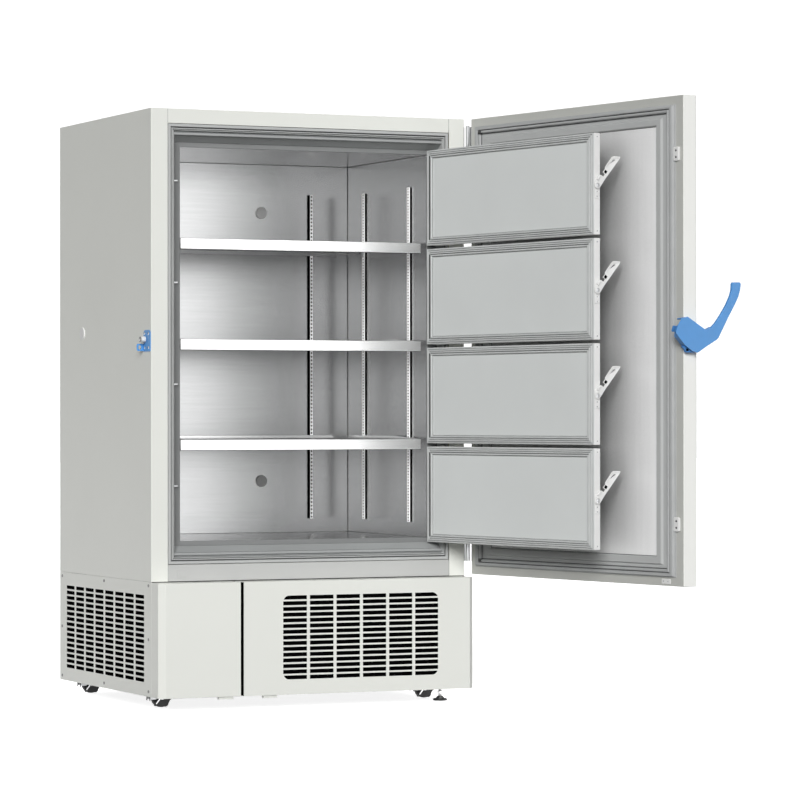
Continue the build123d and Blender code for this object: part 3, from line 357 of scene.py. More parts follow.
class Piece:
    """One visible piece, made of closed parts, each with its own finish."""

    def __init__(self, name, body, m=WORLD):
        self.name, self.body, self.m = name, body, m
        self.bm = bmesh.new()
        self.mats = []

    def add(self, part, mat, m=None):
        t = self.m if m is None else m
        if mat not in self.mats:
            self.mats.append(mat)
        k = self.mats.index(mat)
        bv = [self.bm.verts.new((t @ Vector(v)) * MM) for v in part[0]]
        made = []
        for f in part[1]:
            face = self.bm.faces.new([bv[i] for i in f])
            face.material_index = k
            face.smooth = True
            made.append(face)
        bmesh.ops.recalc_face_normals(self.bm, faces=made)
        return self

    def screw(self, centre, axis, r, h, mat, m=None, cross=None):
        """Pan-head screw standing h along its axis from its seat, with a cross recess."""
        i = "xyz".index(axis[-1])
        s = -1 if axis[0] == "-" else 1
        c0 = centre[i]
        prof = [(0, c0 - s * 0.3), (r, c0 - s * 0.3), (r, c0 + s * h * 0.35), (r * 0.86, c0 + s * h * 0.75), (r * 0.5, c0 + s * h * 0.97), (0, c0 + s * h)]
        self.add(lathe(prof, axis[-1], centre, 18), mat, m)
        for a, b in ((0.55, 0.13), (0.13, 0.55)):
            lim = []
            for ax in range(3):
                if ax == i:
                    lim.append(sorted((c0 + s * h * 0.80, c0 + s * (h + 0.05))))
                else:
                    w = (a if not lim or (len(lim) == 1 and i == 0) else b) * r
                    lim.append((centre[ax] - w, centre[ax] + w))
            self.add(rbox(*lim, r=0.0), cross or HOLE, m)
        return self

    def done(self, replaces=(), sharp=32):
        me = bpy.data.meshes.new(self.name)
        self.bm.to_mesh(me)
        self.bm.free()
        for m in self.mats:
            me.materials.append(m)
        me.set_sharp_from_angle(angle=radians(sharp))
        ob = bpy.data.objects.new(self.name, me)
        scene.collection.objects.link(ob)
        wn = ob.modifiers.new("flat_faces", "WEIGHTED_NORMAL")
        wn.keep_sharp = True
        wn.weight = 80
        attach(ob, self.body)
        if replaces:
            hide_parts(*replaces)
        return ob


def finish_node(name, mat, bevel=0.0):
    ob = nodes[name]
    ob.data.materials.clear()
    ob.data.materials.append(mat)
    if bevel:
        w = ob.modifiers.new("weld", "WELD")
        w.merge_threshold = 0.00002
        b = ob.modifiers.new("edges", "BEVEL")
        b.width = bevel * MM
        b.segments = 2
        b.limit_method = "ANGLE"
        b.angle_limit = radians(40)
        b.harden_normals = False


# ------------------------------------------------- CAD pieces that stay as they are
for names, mat, bev in (
    (("left_side_panel", "right_side_panel", "back_panel"), PAINT, 0),
    (("base_panels", "service_door"), PAINT, 0),
    (("front_cover",), PAINT, 1.0),
    (("inner_liner",), STEEL, 0),
    (("foam_insulation", "door_foam"), FOAM, 0),
    (("evaporator_coil",), COPPER, 0),
    (("base_frame",), FRAMEGREY, 0),
    (("control_box",), BOXGREY, 0),
    (("compressors", "fan_motor"), BLACKPAINT, 0),
    (("condenser_fan",), BLACK, 0),
    (("condenser",), FINS, 0),
    (("air_filter",), FILTER, 0),
    (("base_screws",), DARKZINC, 0.5),
    (("hinge_brackets", "door_hinge_leaves"), ZINC, 0.5),
    (("inner_hinge_brackets", "inner_hinge_pins", "latch_keepers", "shelf_clips"), ZINC, 0.4),
    (("power_inlet",), BLACK, 0.5),
    (("port_plugs",), WHITE, 0),
):
    for nm in names:
        finish_node(nm, mat, bev)

# -------------------------------------------------------- top, sill and their seams
p = Piece("top_cover", "cabinet")
p.add(rbox((-571.1, 571.1), (-450.4, 455.3), (1988.0, 1990), 0.9), PAINT)
p.add(plate(rounded([(-455.3, 1941.7), (-455.3, 1990, 3.0), (-449.5, 1990), (-449.5, 1988.6), (-453.8, 1988.6, 1.5), (-453.8, 1941.7)], 0.4),
            [], -513.3, 513.3, 0.9, 2, "hxz"), PAINT)
p.done(["top_panel"])

p = Piece("sill_and_deck", "cabinet")
p.add(rbox((-571.1, 571.1), (-450.4, 455.3), (425, 426.4), 0.5), PAINT)
# the sill's front strip and its raised plates in the darker paint: painted shade below the breaker
p.add(plate(rounded([(-455.3, 480.8), (-455.3, 425, 3.0), (-449.5, 425), (-449.5, 426.4), (-453.8, 426.4, 1.5), (-453.8, 480.8)], 0.4),
            [], -513.3, 513.3, 0.9, 2, "hxz"), SILL_PAINT_SHADE)
p.add(plate(rrect(-480, -446, 437, 466, 3), [], -456.8, -455.0, 0.7), SILL_PAINT_SHADE)
p.add(plate(rrect(-476.5, -449.5, 440.5, 462.5, 2.5), [], -457.3, -456.4, 0.5, 2), SILL_PAINT_SHADE)
p.done(["deck_panel"])

p = Piece("seam_sealant", "cabinet")
for s in (-1, 1):
    for z in ((426, 480.5), (1942, 1988.5)):
        p.add(rbox(sorted((s * 513.2, s * 514.6)), (-455.36, -453.6), z, 0.3, 1), SEAM)
# sealant in the liner's corners
for s in (-1, 1):
    p.add(rbox(sorted((s * 450.4, s * 452.0)), (262.4, 264.0), (558, 1866), 0.4, 1), SEAM)
for z in ((557.0, 558.4), (1865.6, 1867.0)):
    p.add(rbox((-450, 450), (262.4, 264.0), z, 0.4, 1), SEAM)
    for s in (-1, 1):
        p.add(rbox(sorted((s * 450.6, s * 452.0)), (-402, 262), z, 0.4, 1), SEAM)
# black strip under the sill above the covers: painted shadow of the gap between them
p.add(rbox((-571, 571), (-456.3, -455.4), (420.5, 425.3), 0.2, 1), HOLE)
p.done()

p = Piece("cover_gap_seal", "service_door")
p.add(rbox((-277.8, -276.6), (-535.5, -466), (46.5, 421.5), 0.3, 1), HOLE)
p.done()

# black sheet behind the slotted base panels: painted shade of the space behind the slots
p = Piece("base_slot_shade_sheet", "cabinet")
for s in (-1, 1):
    p.add(rbox(sorted((s * 569.6, s * 570.7)), (-448, 448), (58, 412), 0.3, 1), FILTER)
p.add(rbox((-345, 465), (452.3, 453.4), (58, 412), 0.3, 1), FILTER)
p.done()

# ------------------------------------------------------------------- breaker frame
p = Piece("breaker_moulding", "cabinet")
p.add(ring((-513.5, 513.5), (481, 1941.5), even(
    [(0, -404), (0, -452.0), (1.2, -452.0), (1.6, -454.4), (2.6, -455.3), (9.2, -455.3), (10.4, -454.6), (10.9, -452.5),
     (11.2, -446.4), (14.6, -446.4), (15.0, -451.4), (15.7, -452.6), (17.8, -452.6), (18.5, -451.4), (18.8, -447.6),
     (20.4, -447.6), (20.7, -451.4), (21.3, -452.6), (22.3, -452.6), (23, -451.8), (23, -404)])), BREAKER)
# ledge in the darker grey: painted shade
p.add(ring((-490.3, 490.3), (540.6, 1883.4),
           [(0, 0, -404), (0, 0, -407.4), (0.8, 0.5, -408), (36.2, 15.4, -408), (38.0, 16.2, -406.2), (38.0, 16.2, -404)]), LEDGE_GREY_SHADE)
for d0, d1, y in ((0.15, 1.0, -452.3), (11.5, 14.3, -446.8), (19.1, 20.1, -448.0)):
    p.add(ring((-513.5, 513.5), (481, 1941.5), even([(d0, y), (d0, y + 0.3), (d1, y + 0.3), (d1, y)])), GROOVE)
# top and bottom infills in the darker grey: painted shade
for pts in ([(-404, 1883.6, 0), (-411, 1883.6), (-438, 1902, 6), (-449, 1904), (-449, 1912), (-440, 1913), (-440, 1918.3), (-404, 1918.3, 0)],
            [(-404, 540.4, 0), (-411, 540.4), (-438, 521, 6), (-449, 519), (-449, 511), (-440, 510), (-440, 504.2), (-404, 504.2, 0)]):
    p.add(plate(rounded(pts, 2.0), [], -490.3, 490.3, 0.5, 1, "hxz"), INFILL_GREY_SHADE)
p.done(["breaker_frame"])

# ------------------------------------------------------------------- shelves
p = Piece("shelf_sheets", "cabinet")
# the sheet, rear flange and ribs use the darker steel, painted shade; the black strip under each lip is a painted
# shadow line
for zt in (894.0, 1229.0, 1565.0):
    p.add(rbox((-430, 430), (-403, 252), (zt - 2, zt), 0.7), SHELF_STEEL_SHADE)
    p.add(rbox((-449, 429.6), (-402.5, -388.8), (zt - 36.4, zt - 35.7), 0.2, 1), HOLE)
    lip = (arc(-403.5, zt - 3, 3, 180, 90, 5) + [(-396, zt), (-396, zt - 2), (-403.3, zt - 2), (-404.5, zt - 3.2), (-404.5, zt - 32.8),
           (-403.3, zt - 34), (-390.5, zt - 34), (-390.5, zt - 18), (-388.5, zt - 18)] + arc(-390.5, zt - 34, 2, 0, -90, 4)
           + arc(-403.5, zt - 33, 3, 270, 180, 5))
    p.add(plate(lip, [], -449.5, 430, 0.3, 1, "hxz"), SHELF)
    p.add(rbox((-405, 405), (250, 252), (zt - 20, zt - 1), 0.7), SHELF_STEEL_SHADE)
    for y in (-130, 60):
        hat = [(y - 15, zt - 2), (y - 15, zt - 16, 2), (y - 12, zt - 18, 2), (y + 12, zt - 18, 2), (y + 15, zt - 16, 2), (y + 15, zt - 2)]
        p.add(plate(rounded(hat, 0), [], -400, 400, 0.4, 1, "hxz"), SHELF_STEEL_SHADE)
    up = [(-392, zt - 1), (392, zt - 1), (382, zt + 10, 1.5), (-382, zt + 10, 1.5)]
    p.add(plate(rounded(up, 0), [], 250, 252, 0.7, 2, "xhz"), SHELF)
    side = [(-392, zt - 1), (204, zt - 1), (194, zt + 10, 1.5), (-190, zt + 10, 20), (-390, zt + 0.6, 1)]
    for x in ((-430, -428), (428, 430)):
        p.add(plate(rounded(side, 0), [], x[0], x[1], 0.7, 2, "hxz"), SHELF)
p.done(["shelves"])


# ------------------------------------------------------------------- pilasters
def pilaster(piece, put, face, w, flank=7.6, pitch=13.0, n=89):
    """Channel 18 wide and 8 deep with a punched bright face between two limits; put maps (across, off the wall, z). One
    flank and the backing behind its holes are black, the other flank dark grey: painted shade of the channel's sides
    and inside.
    """
    z0 = 606.0
    z1 = z0 + n * pitch

    def block(a, h, z, mat, r=0.3):
        vs, fs = rbox(a, h, z, r, 1)
        piece.add(([put(*v) for v in vs], fs), mat)

    x0, x1 = face
    h0, h1 = 8.0, 7.2
    block((-9, x0 + 0.2), (0, flank), (z0, z1), HOLE)
    if flank < 7:
        block((-9, x0 + 0.2), (flank, 7.8), (z0, z1), PERF_GLOW)
    block((x1 - 0.2, 9), (0, 7.2), (z0, z1), GROOVE)
    block((x0, x1), (0, 7.1), (z0 + 0.3, z1 - 0.3), HOLE, 0)
    # punched face
    vs, fs = [], []
    m = (x0 + x1) / 2
    w0, w1, hz = m - w / 2, m + w / 2, 0.25 * pitch
    for k in range(n):
        a, b = z0 + k * pitch, z0 + (k + 1) * pitch
        c = (a + b) / 2
        b0 = len(vs)
        grid = [(x, z) for z in (a, c - hz, c + hz, b) for x in (x0, w0, w1, x1)]
        vs += [(x, h0, z) for x, z in grid] + [(x, h1, z) for x, z in grid]
        for r in range(3):
            for q in range(3):
                i = b0 + r * 4 + q
                if (r, q) != (1, 1):
                    fs.append((i, i + 1, i + 5, i + 4))
                    fs.append((i + 16, i + 20, i + 21, i + 17))
        i = b0 + 5
        for u, v in ((i, i + 1), (i + 1, i + 5), (i + 5, i + 4), (i + 4, i)):
            fs.append((u, v, v + 16, u + 16))
        for r in range(3):
            fs.append((b0 + r * 4, b0 + r * 4 + 4, b0 + r * 4 + 20, b0 + r * 4 + 16))
            fs.append((b0 + r * 4 + 3, b0 + r * 4 + 19, b0 + r * 4 + 23, b0 + r * 4 + 7))
    last = (n - 1) * 32
    for q in range(3):
        fs.append((q, q + 16, q + 17, q + 1))
        fs.append((last + 12 + q, last + 13 + q, last + 29 + q, last + 28 + q))
    bm = bmesh.new()
    bv = [bm.verts.new(put(*v)) for v in vs]
    for q in fs:
        bm.faces.new([bv[i] for i in q])
    bmesh.ops.remove_doubles(bm, verts=bm.verts[:], dist=0.001)
    piece.add(take(bm), PERF_GLOW)


p = Piece("perforated_pilasters", "cabinet")
for y in (-272.0, 110.0):
    pilaster(p, lambda a, h, z, y=y: (452.0 - h, y + a, z), (-8.4, 8.4), 10.5, 4.6, 9.974, 116)
    pilaster(p, lambda a, h, z, y=y: (-452.0 + h, y + a, z), (-8.4, 8.4), 10.5, 4.6, 9.974, 116)
for x in (-305.0, 305.0):
    pilaster(p, lambda a, h, z, x=x: (x + a, 264.0 - h, z), (-3.2, 7.6), 5.6)
p.done(["shelf_pilasters"])

# ------------------------------------------------------------------- striker and roller
p = Piece("striker_plate", "cabinet")
p.add(plate(rounded([(-451, 1186, 5), (-390, 1186, 5), (-386, 1188, 1), (-386, 1212, 3), (-390, 1214, 2), (-390, 1257, 14), (-451, 1257, 14)], 3),
            [], -575.6, -572.5, 0.9, 2, "hxz"), BLUE)
p.add(plate(rrect(-598.5, -573, 1188, 1212, 5), [rrect(-592, -583, 1193, 1207, 4.2)], -389, -386, 0.7, 2, "xhz"), BLUE)
for y, z in ((-439, 1199), (-403, 1199), (-439, 1245), (-403, 1246)):
    p.screw((-575.6, y, z), "-x", 4.6, 2.4, ZINC)
p.add(lathe([(0, -573), (3.0, -573), (3.0, -597.2), (5.0, -597.2), (5.0, -598.2), (4.2, -598.8), (0, -598.8)], "x", (0, -412.9, 1226), 28), CHROME)
p.done(["striker_bracket"])

p = Piece("striker_roller_sleeve", "striker_roller")
r0, r1 = 3.3, 9.5
p.add(lathe([(r0, -577.4), (r1 - 1.2, -577.4), (r1 - 0.3, -577.8), (r1, -578.6), (r1, -585.4), (r1 - 0.9, -586.2), (r1 - 0.9, -587.6), (r1, -588.4),
             (r1, -592.6), (r1 - 0.3, -593.4), (r1 - 1.2, -593.8), (r0, -593.8)], "x", (0, -412.9, 1226), 40, True), WHITE)
# toothed washer at the roller's end
teeth = []
for i in range(24):
    t = 2 * pi * i / 24
    rr = 9.3 if i % 2 else 7.9
    teeth.append((-412.9 + rr * cos(t), 1226 + rr * sin(t)))
p.add(plate(teeth, [arc(-412.9, 1226, 3.3, 0, 345, 23)], -596.8, -594.0, 0.3, 1, "hxz"), DARKZINC)
p.done(["striker_roller"])

# ------------------------------------------------------------------- screws on the cabinet
p = Piece("hinge_screws", "cabinet")
for z0, z1 in ((475.0, 635.0), (1803.0, 1963.0)):
    for dz in (18, 58, 98, 138):
        p.screw((575.7, -416.0 if dz in (18, 98) else -406.0, z0 + dz), "x", 4.6, 2.2, ZINC)
p.done()

# ------------------------------------------------------------------- outer door
A0, A1, B0, B1, Z0, Z1 = 9.7, 1154.7, 7.0, 60.5, 430.0, 1990.0
p = Piece("outer_door_skin", "outer_door", DOOR)
p.add(rbox((A0, A1), (B0, B1), (Z0, Z1), 2.8, 4), DOORPAINT)
# the free edge takes the lighter paint, a painted highlight
p.mats += [DOOR_PAINT_LIT, DOOR_PAINT_SHADE]
# the inner face takes the darker paint, painted shade
along = DOOR.to_3x3() @ Vector((1, 0, 0))
inward = DOOR.to_3x3() @ Vector((0, -1, 0))
for f in p.bm.faces:
    if f.normal.dot(along) > 0.95:
        f.material_index = 1
    elif f.normal.dot(inward) > 0.95:
        f.material_index = 2
p.done(["door_skin", "door_foam"])

p = Piece("door_edge_seam", "outer_door", DOOR)
p.add(rbox((A1 - 0.6, A1 + 0.06), (57.7, 59.0), (Z0 + 1.5, Z1 - 1.5), 0.15, 1), SEAM)
p.done()

p = Piece("outer_door_gasket", "outer_door", DOOR)
p.add(ring((A0 - 9, A1), (Z0, Z1), door_inset(
    [(38.0, 7.3), (38.0, 5.2), (39.2, 4.2), (42.5, 3.6), (43.6, 1.0), (44.6, -3.6), (46.6, -4.8), (49.5, -5.4), (53.5, -5.4), (56.0, -4.8),
     (57.8, -3.4), (58.6, 0.6), (60.6, 0.8), (61.6, -2.0), (63.0, -3.6), (66.0, -4.0), (68.2, -2.8), (69.2, 0.8), (70.2, 3.6), (72.4, 4.4),
     (73.2, 5.4), (73.2, 7.3)])), GASKET)
for d0, d1, b in ((58.2, 61.0, -0.5), (69.6, 72.6, 2.9)):
    p.add(ring((A0 - 9, A1), (Z0, Z1), door_inset([(d0, b), (d0, b + 1.2), (d1, b + 1.2), (d1, b)])), GROOVE)
p.done(["door_gasket"])

p = Piece("outer_door_liner", "outer_door", DOOR)
p.add(ring((A0 - 9, A1), (Z0, Z1), door_inset(
    [(73.8, 8.0), (73.8, 5.8), (74.8, 5.0), (100, 4.6), (104, 3.4), (110, -0.4), (113.5, -1.4), (116, -1.5), (137, -1.5), (139.4, -1.0),
     (141.0, 0.6), (142.6, 3.0), (145, 3.5), (150, 3.5), (150, 8.0)])), DOORGREY)
p.add(ring((A0 - 9, A1), (Z0, Z1), door_inset([(142.8, 2.9), (142.8, 3.4), (144.6, 3.4), (144.6, 2.9)])), GROOVE)
p.add(rbox((A0 + 122, A1 - 131), (3.1, 7.2), (Z0 + 95, Z1 - 95), 0.4, 1), DOORSTEEL)
p.done(["door_liner"])

p = Piece("door_bumper_pads", "outer_door", DOOR)
for a0, a1, z0, z1 in ((1112, 1138, 1781, 1826), (1112, 1138, 605, 650)):
    p.add(plate(rrect(a0, a1, z0, z1, 5), [arc((a0 + a1) / 2, zz, 3.4, 0, 340, 17) for zz in (z0 + 12, z1 - 12)], -0.5, 7.3, 1.6, 3), WHITE)
    for zz in (z0 + 12, z1 - 12):
        p.add(lathe([(0, -0.2), (3.3, -0.2), (3.3, 7.2), (0, 7.2)], "y", ((a0 + a1) / 2, 0, zz), 18), HOLE)
for z in (1939, 481):
    p.add(rbox((A0 + 55, A0 + 73), (-4.8, 7.4), (z - 5.5, z + 5.5), 0.8), BLACK)
p.add(rbox((1046, 1089), (4.4, 7.4), (437, 453), 1.2), WHITE)
for a in (1056, 1079):
    p.screw((a, 4.4, 445), "-y", 2.6, 1.0, ZINC)
p.done()

# control panel on the outer face
p = Piece("control_panel_housing", "outer_door", DOOR)
p.add(plate(rrect(470, 730, 1590, 1760, 12), [rrect(500, 700, 1652, 1740, 6)], 60.3, 67.5, 2.2, 3), WHITE)
p.add(rbox((498, 702), (60.5, 65.3), (1650, 1742), 0.5, 1), GLASS)
SEGS = {"8": "abcdefg", "0": "abcdef", "-": "g"}
def digit(piece, ch, a, z, w=24.0, h=44.0, t=4.6, y=65.3):
    """Seven-segment figure seen from outside the door; a is its left edge, which lies towards larger a."""
    parts = {"a": ((0, w), (h - t, h)), "d": ((0, w), (0, t)), "g": ((0, w), (h / 2 - t / 2, h / 2 + t / 2)),
             "f": ((0, t), (h / 2, h)), "e": ((0, t), (0, h / 2)), "b": ((w - t, w), (h / 2, h)), "c": ((w - t, w), (0, h / 2))}
    for sgm in SEGS[ch]:
        (x0, x1), (q0, q1) = parts[sgm]
        piece.add(rbox((a - x1 + 0.7, a - x0 - 0.7), (y - 0.2, y + 0.35), (z + q0 + 0.7, z + q1 - 0.7), 0.15, 1), LED)
for ch, a in (("-", 668), ("8", 636), ("0", 602)):
    digit(p, ch, a, 1674)
p.add(plate(arc(566, 1713, 4.0, 0, 330, 11), [arc(566, 1713, 2.2, 0, 330, 11)], 65.1, 65.65, 0.15, 1), LED)
for k in range(5):
    c = 520 + 40 * k
    p.add(plate(rrect(c - 14, c + 14, 1608, 1630, 6), [], 67.0, 68.4, 0.6, 2), KEYGREY)
for k in range(3):
    c = 560 + 40 * k
    p.add(lathe([(0, 67.3), (2.6, 67.3), (2.6, 67.9), (1.8, 68.4), (0, 68.6)], "y", (c, 0, 1641), 18), LEDGREEN if k == 2 else KEYGREY)
p.done(["control_panel"])

p = Piece("door_leaf_screws", "outer_door", DOOR)
for z0, z1 in ((475.0, 635.0), (1803.0, 1963.0)):
    for dz in (20, 60, 100, 140):
        p.screw((6.5, 34 if dz in (20, 100) else 42, z0 + dz), "-x", 3.6, 1.4, ZINC)
p.done()

# ------------------------------------------------------------------- handle
p = Piece("door_handle", "handle", DOOR)
face = [(-24.3, 1280.4, 4), (0.2, 1285.2, 4), (74.5, 1244.6, 2), (95.1, 1251.2, 16), (112.8, 1265.3, 30), (136.4, 1293.0, 60), (160.4, 1326.1, 80),
        (176.6, 1355.1, 60), (182.4, 1374.3, 30), (183.3, 1392.0, 6), (186.5, 1397.7, 3.5), (214.0, 1398.4, 3.5), (219.0, 1393.2, 4), (216.5, 1375.0, 40),
        (209.0, 1352.2, 60), (192.7, 1324.5, 80), (166.1, 1284.2, 80), (140.8, 1243.1, 40), (125.9, 1219.1, 8), (118.9, 1213.4, 8), (77.7, 1192.2, 20),
        (45.3, 1173.8, 4), (39.6, 1171.5, 4), (19.2, 1177.0, 8), (-10.1, 1194.7, 6), (-47.9, 1232.8, 2.5), (-38.9, 1257.5, 8)]
p.add(plate(rounded(face, 3, 5), [], 1181.2, 1184.4, 1.0, 3, "hxz"), BLUE)
# hub under the face, open on its left where the striker roller comes in
hub = [(-6, 1281.5, 4), (0.6, 1284.4, 4), (74.4, 1244.0, 2), (96, 1251.0, 12), (105, 1256, 8), (126, 1222, 8), (118.2, 1213.8, 8), (77.4, 1192.8, 20),
       (45.2, 1174.4, 4), (39.6, 1172.2, 4), (19.6, 1177.8, 8), (-9.4, 1195.4, 4), (-36.5, 1221.5, 3), (-36.2, 1237, 6), (-29.2, 1252.3, 8), (-19.2, 1263.2, 8), (-11.5, 1271, 4)]
p.add(plate(rounded(hub, 3, 5), [], 1161.0, 1181.8, 0.6, 2, "hxz"), BLUE_PAINT_SHADE)
# arm, a thin blade that curves up from the hub, its flanks in the darker blue: painted shade
arm = [(86, 1247, 4), (95.1, 1251.0, 12), (112.8, 1265.3, 30), (136.4, 1293.0, 60), (160.4, 1326.1, 80), (176.6, 1355.1, 60), (182.4, 1374.3, 30), (183.3, 1392.0, 6), (186.5, 1397.7, 3.5),
       (214.0, 1398.4, 3.5), (219.0, 1393.2, 4), (216.5, 1375.0, 40), (209.0, 1352.2, 60), (192.7, 1324.5, 80), (166.1, 1284.2, 80), (140.8, 1243.1, 40), (125.9, 1219.1, 8), (118.9, 1213.4, 6), (96, 1202, 4)]
p.add(plate(rounded(arm, 4, 6), [], 1174.0, 1181.6, 0.8, 2, "hxz"), BLUE_PAINT_SHADE)
# outer rim of the flap, open where the roller passes, its lip and slot
for rim in ([(-46.6, 1237.0), (-39.4, 1256.4), (-36.4, 1255.2), (-43.3, 1237.0)],
            [(-25.8, 1277.9), (-24.3, 1280.2), (-4, 1284.0), (-4, 1281.0), (-22.2, 1277.2), (-23.4, 1275.4)]):
    p.add(plate(rounded(rim, 0.6, 3), [], 1161.0, 1181.6, 0.4, 2, "hxz"), BLUE_PAINT_SHADE)
lip = [(-51.0, 1238.6, 2), (-44.4, 1257.6, 3), (-38.4, 1256.2), (-45.0, 1238.2)]
p.add(plate(rounded(lip, 1, 3), [], 1163.0, 1170.0, 0.9, 2, "hxz"), BLUE_PAINT_SHADE)
p.add(plate([(-47.6, 1241), (-43.0, 1254.4), (-41.0, 1253.8), (-45.4, 1240.6)], [], 1170.0, 1176.0, 0.2, 1, "hxz"), DEEPBLUE)
# spring clip under the hub
p.add(plate(rounded([(-13.0, 1191, 2), (6.2, 1197), (30, 1182), (55.6, 1172.0), (24.5, 1172.2), (2.9, 1172.7, 3), (-1.5, 1182, 3)], 2, 4), [], 1162, 1172, 1.0, 2, "hxz"), BLUE_PAINT_SHADE)
p.add(plate(rounded([(3.5, 1176), (14, 1178), (10, 1186), (2, 1184)], 1.5), [], 1171.6, 1172.6, 0.3, 1, "hxz"), HOLE)
p.done(["handle_lever"])

# plate under the handle with its pivot
p = Piece("handle_base_plate", "outer_door", DOOR)
p.add(plate(rrect(11, 56, 1182, 1262, 6), [], 1154.4, 1158.9, 0.8, 2, "hxz"), DEEPBLUE)
p.add(lathe([(0, 1158), (11, 1158), (11, 1160.4), (5.9, 1160.6), (5.9, 1178), (0, 1178)], "x", (0, 16, 1223), 32), ZINC)
p.done(["handle_housing"])

# ------------------------------------------------------------------- inner doors
lean = radians(39.4)
for k in range(4):
    m = str(k + 1)
    zb = 541.0 + (3 - k) * 337.75
    zt = zb + 326.75
    p = Piece("inner_door_%s_panel" % m, "inner_door_" + m, INNER)
    outline = [(20, zb, 1), (926.6, zb, 2.5), (926.6, zt, 2.5), (20, zt, 1), (20, zt - 14, 2), (-11, zt - 14, 3), (-11, zb + 14, 3), (20, zb + 14, 2)]
    p.add(plate(rounded(outline, 1.0, 3), [], -13.0, 11.0, 2.0, 3), WHITE)
    p.add(rbox((27.0, 889.5), (-14.0, -12.6), (zb + 29.5, zt - 29.5), 0.4, 1), INPANEL)
    prof = [(0, -12.7), (0, -15.4), (1.0, -16.3), (4.4, -17.2), (5.0, -16.6), (5.2, -14.4), (6.3, -14.4), (6.6, -18.2), (7.6, -19.0), (10.8, -19.0),
            (11.6, -18.4), (11.8, -14.4), (12.9, -14.4), (13.2, -19.0), (14.0, -19.8), (16.8, -19.8), (17.7, -19.0), (17.9, -13.6), (19.7, -13.6), (20.0, -18.6),
            (21.0, -19.2), (24.6, -19.2), (25.4, -18.4), (25.7, -14.8), (27.2, -14.6), (29.2, -14.4), (30.0, -13.6), (30.0, -12.7)]
    p.add(ring((-9.5, 926.2), (zb + 0.6, zt - 0.6), [(d * 1.25, d, b) for d, b in prof]), INGASKET)
    for d0, d1, b in ((5.3, 6.2, -14.6), (11.9, 12.8, -14.6), (18.0, 19.6, -13.9), (25.9, 27.0, -14.9)):
        p.add(ring((-9.5, 926.2), (zb + 0.6, zt - 0.6), [(d0 * 1.25, d0, b), (d0 * 1.25, d0, b + 0.25), (d1 * 1.25, d1, b + 0.25), (d1 * 1.25, d1, b)]), GROOVE)
    p.add(rbox((8.6, 15.4), (-20.0, -18.8), (zb + 19.5, zt - 19.5), 0.3, 1), GROOVE)
    # pressed field on the outer face
    p.add(ring((-11, 926.6), (zb, zt), [(40, 24, 10.6), (41, 25, 11.9), (43, 27, 12.6), (47, 31, 12.6), (49, 33, 11.9), (50, 34, 10.6)]), WHITE)
    p.add(rbox((39, 876.6), (10.5, 11.3), (zb + 34, zt - 34), 0.3, 1), INPANEL)
    # end face: screws and the latch's base plate
    for zz in (zb + 12, zt - 12):
        p.screw((926.6, -1.0, zz), "x", 2.6, 0.9, ZINC)
    p.add(plate(rounded([(-13.4, zb + 116.5), (6.2, zb + 116.5), (6.2, zb + 170), (1, zb + 178.5), (-8.2, zb + 178.5), (-13.4, zb + 170)], 2.5), [],
                926.0, 929.0, 0.7, 2, "hxz"), WHITE)
    for zz in (zb + 123, zb + 138):
        p.screw((929.0, -3.6, zz), "x", 2.8, 0.8, ZINC)
    p.done(["inner_door_" + m])

    p = Piece("latch_pin_" + m, "inner_door_" + m, INNER)
    zc = zb + 158.5
    p.add(lathe([(0, 925), (3.7, 925), (3.7, 933.95), (7.3, 933.95), (7.3, 934.7), (6.4, 935.7), (3.6, 936.15), (1.6, 936.15), (1.4, 935.2), (0, 935.2)],
                "x", (0, -3.6, zc), 30), ZINC)
    p.done(["latch_pivot_" + m])

    # lever, drawn upright and leaned outwards about its pivot
    u = (INNER.to_3x3() @ Vector((1, 0, 0)))
    n = (INNER.to_3x3() @ Vector((0, 1, 0)))
    xd = n * cos(lean) - Vector((0, 0, 1)) * sin(lean)
    yd = u.cross(xd)
    o = INNER @ Vector((929.8, -3.6, zc))
    L = Matrix(((xd.x, yd.x, u.x, o.x), (xd.y, yd.y, u.y, o.y), (xd.z, yd.z, u.z, o.z), (0, 0, 0, 1)))
    p = Piece("latch_handle_" + m, "latch_lever_" + m, L)
    s0, s1, kr = 89.0, 125.0, 41.2
    out = [(-11.4, 4)] + [(-10.6, 24), (-10.2, 31.5)]
    out += [((kr - 5.6) * cos(radians(a)), (kr - 5.6) * sin(radians(a))) for a in (106, 100, 95, 91)]
    out += [(0.3, 37.6), (0.8, 41.2), (0.3, 44.8)]
    out += [((kr + 5.6) * cos(radians(a)), (kr + 5.6) * sin(radians(a))) for a in (91, 95, 100, 103)]
    out += [(-10.0, 60), (-13.6, 64), (-14, 70), (-14, 106), (-13, 111), (-10.5, 114.5), (8.4, 129.6), (10.4, 130.4), (12.2, 128.6), (12.8, 124.5), (10.2, 40), (11.4, 4)]
    out += arc(0, 0, 12, 15, -195, 14)
    win = rounded([(-7, 80), (-5.4, 105), (4.2, 112.5)], 1.6, 3)
    p.add(plate(out, [win, arc(0, 0, 4.2, 0, 345, 23)], 0.0, 4.0, 1.0, 2, "xyh"), WHITE)
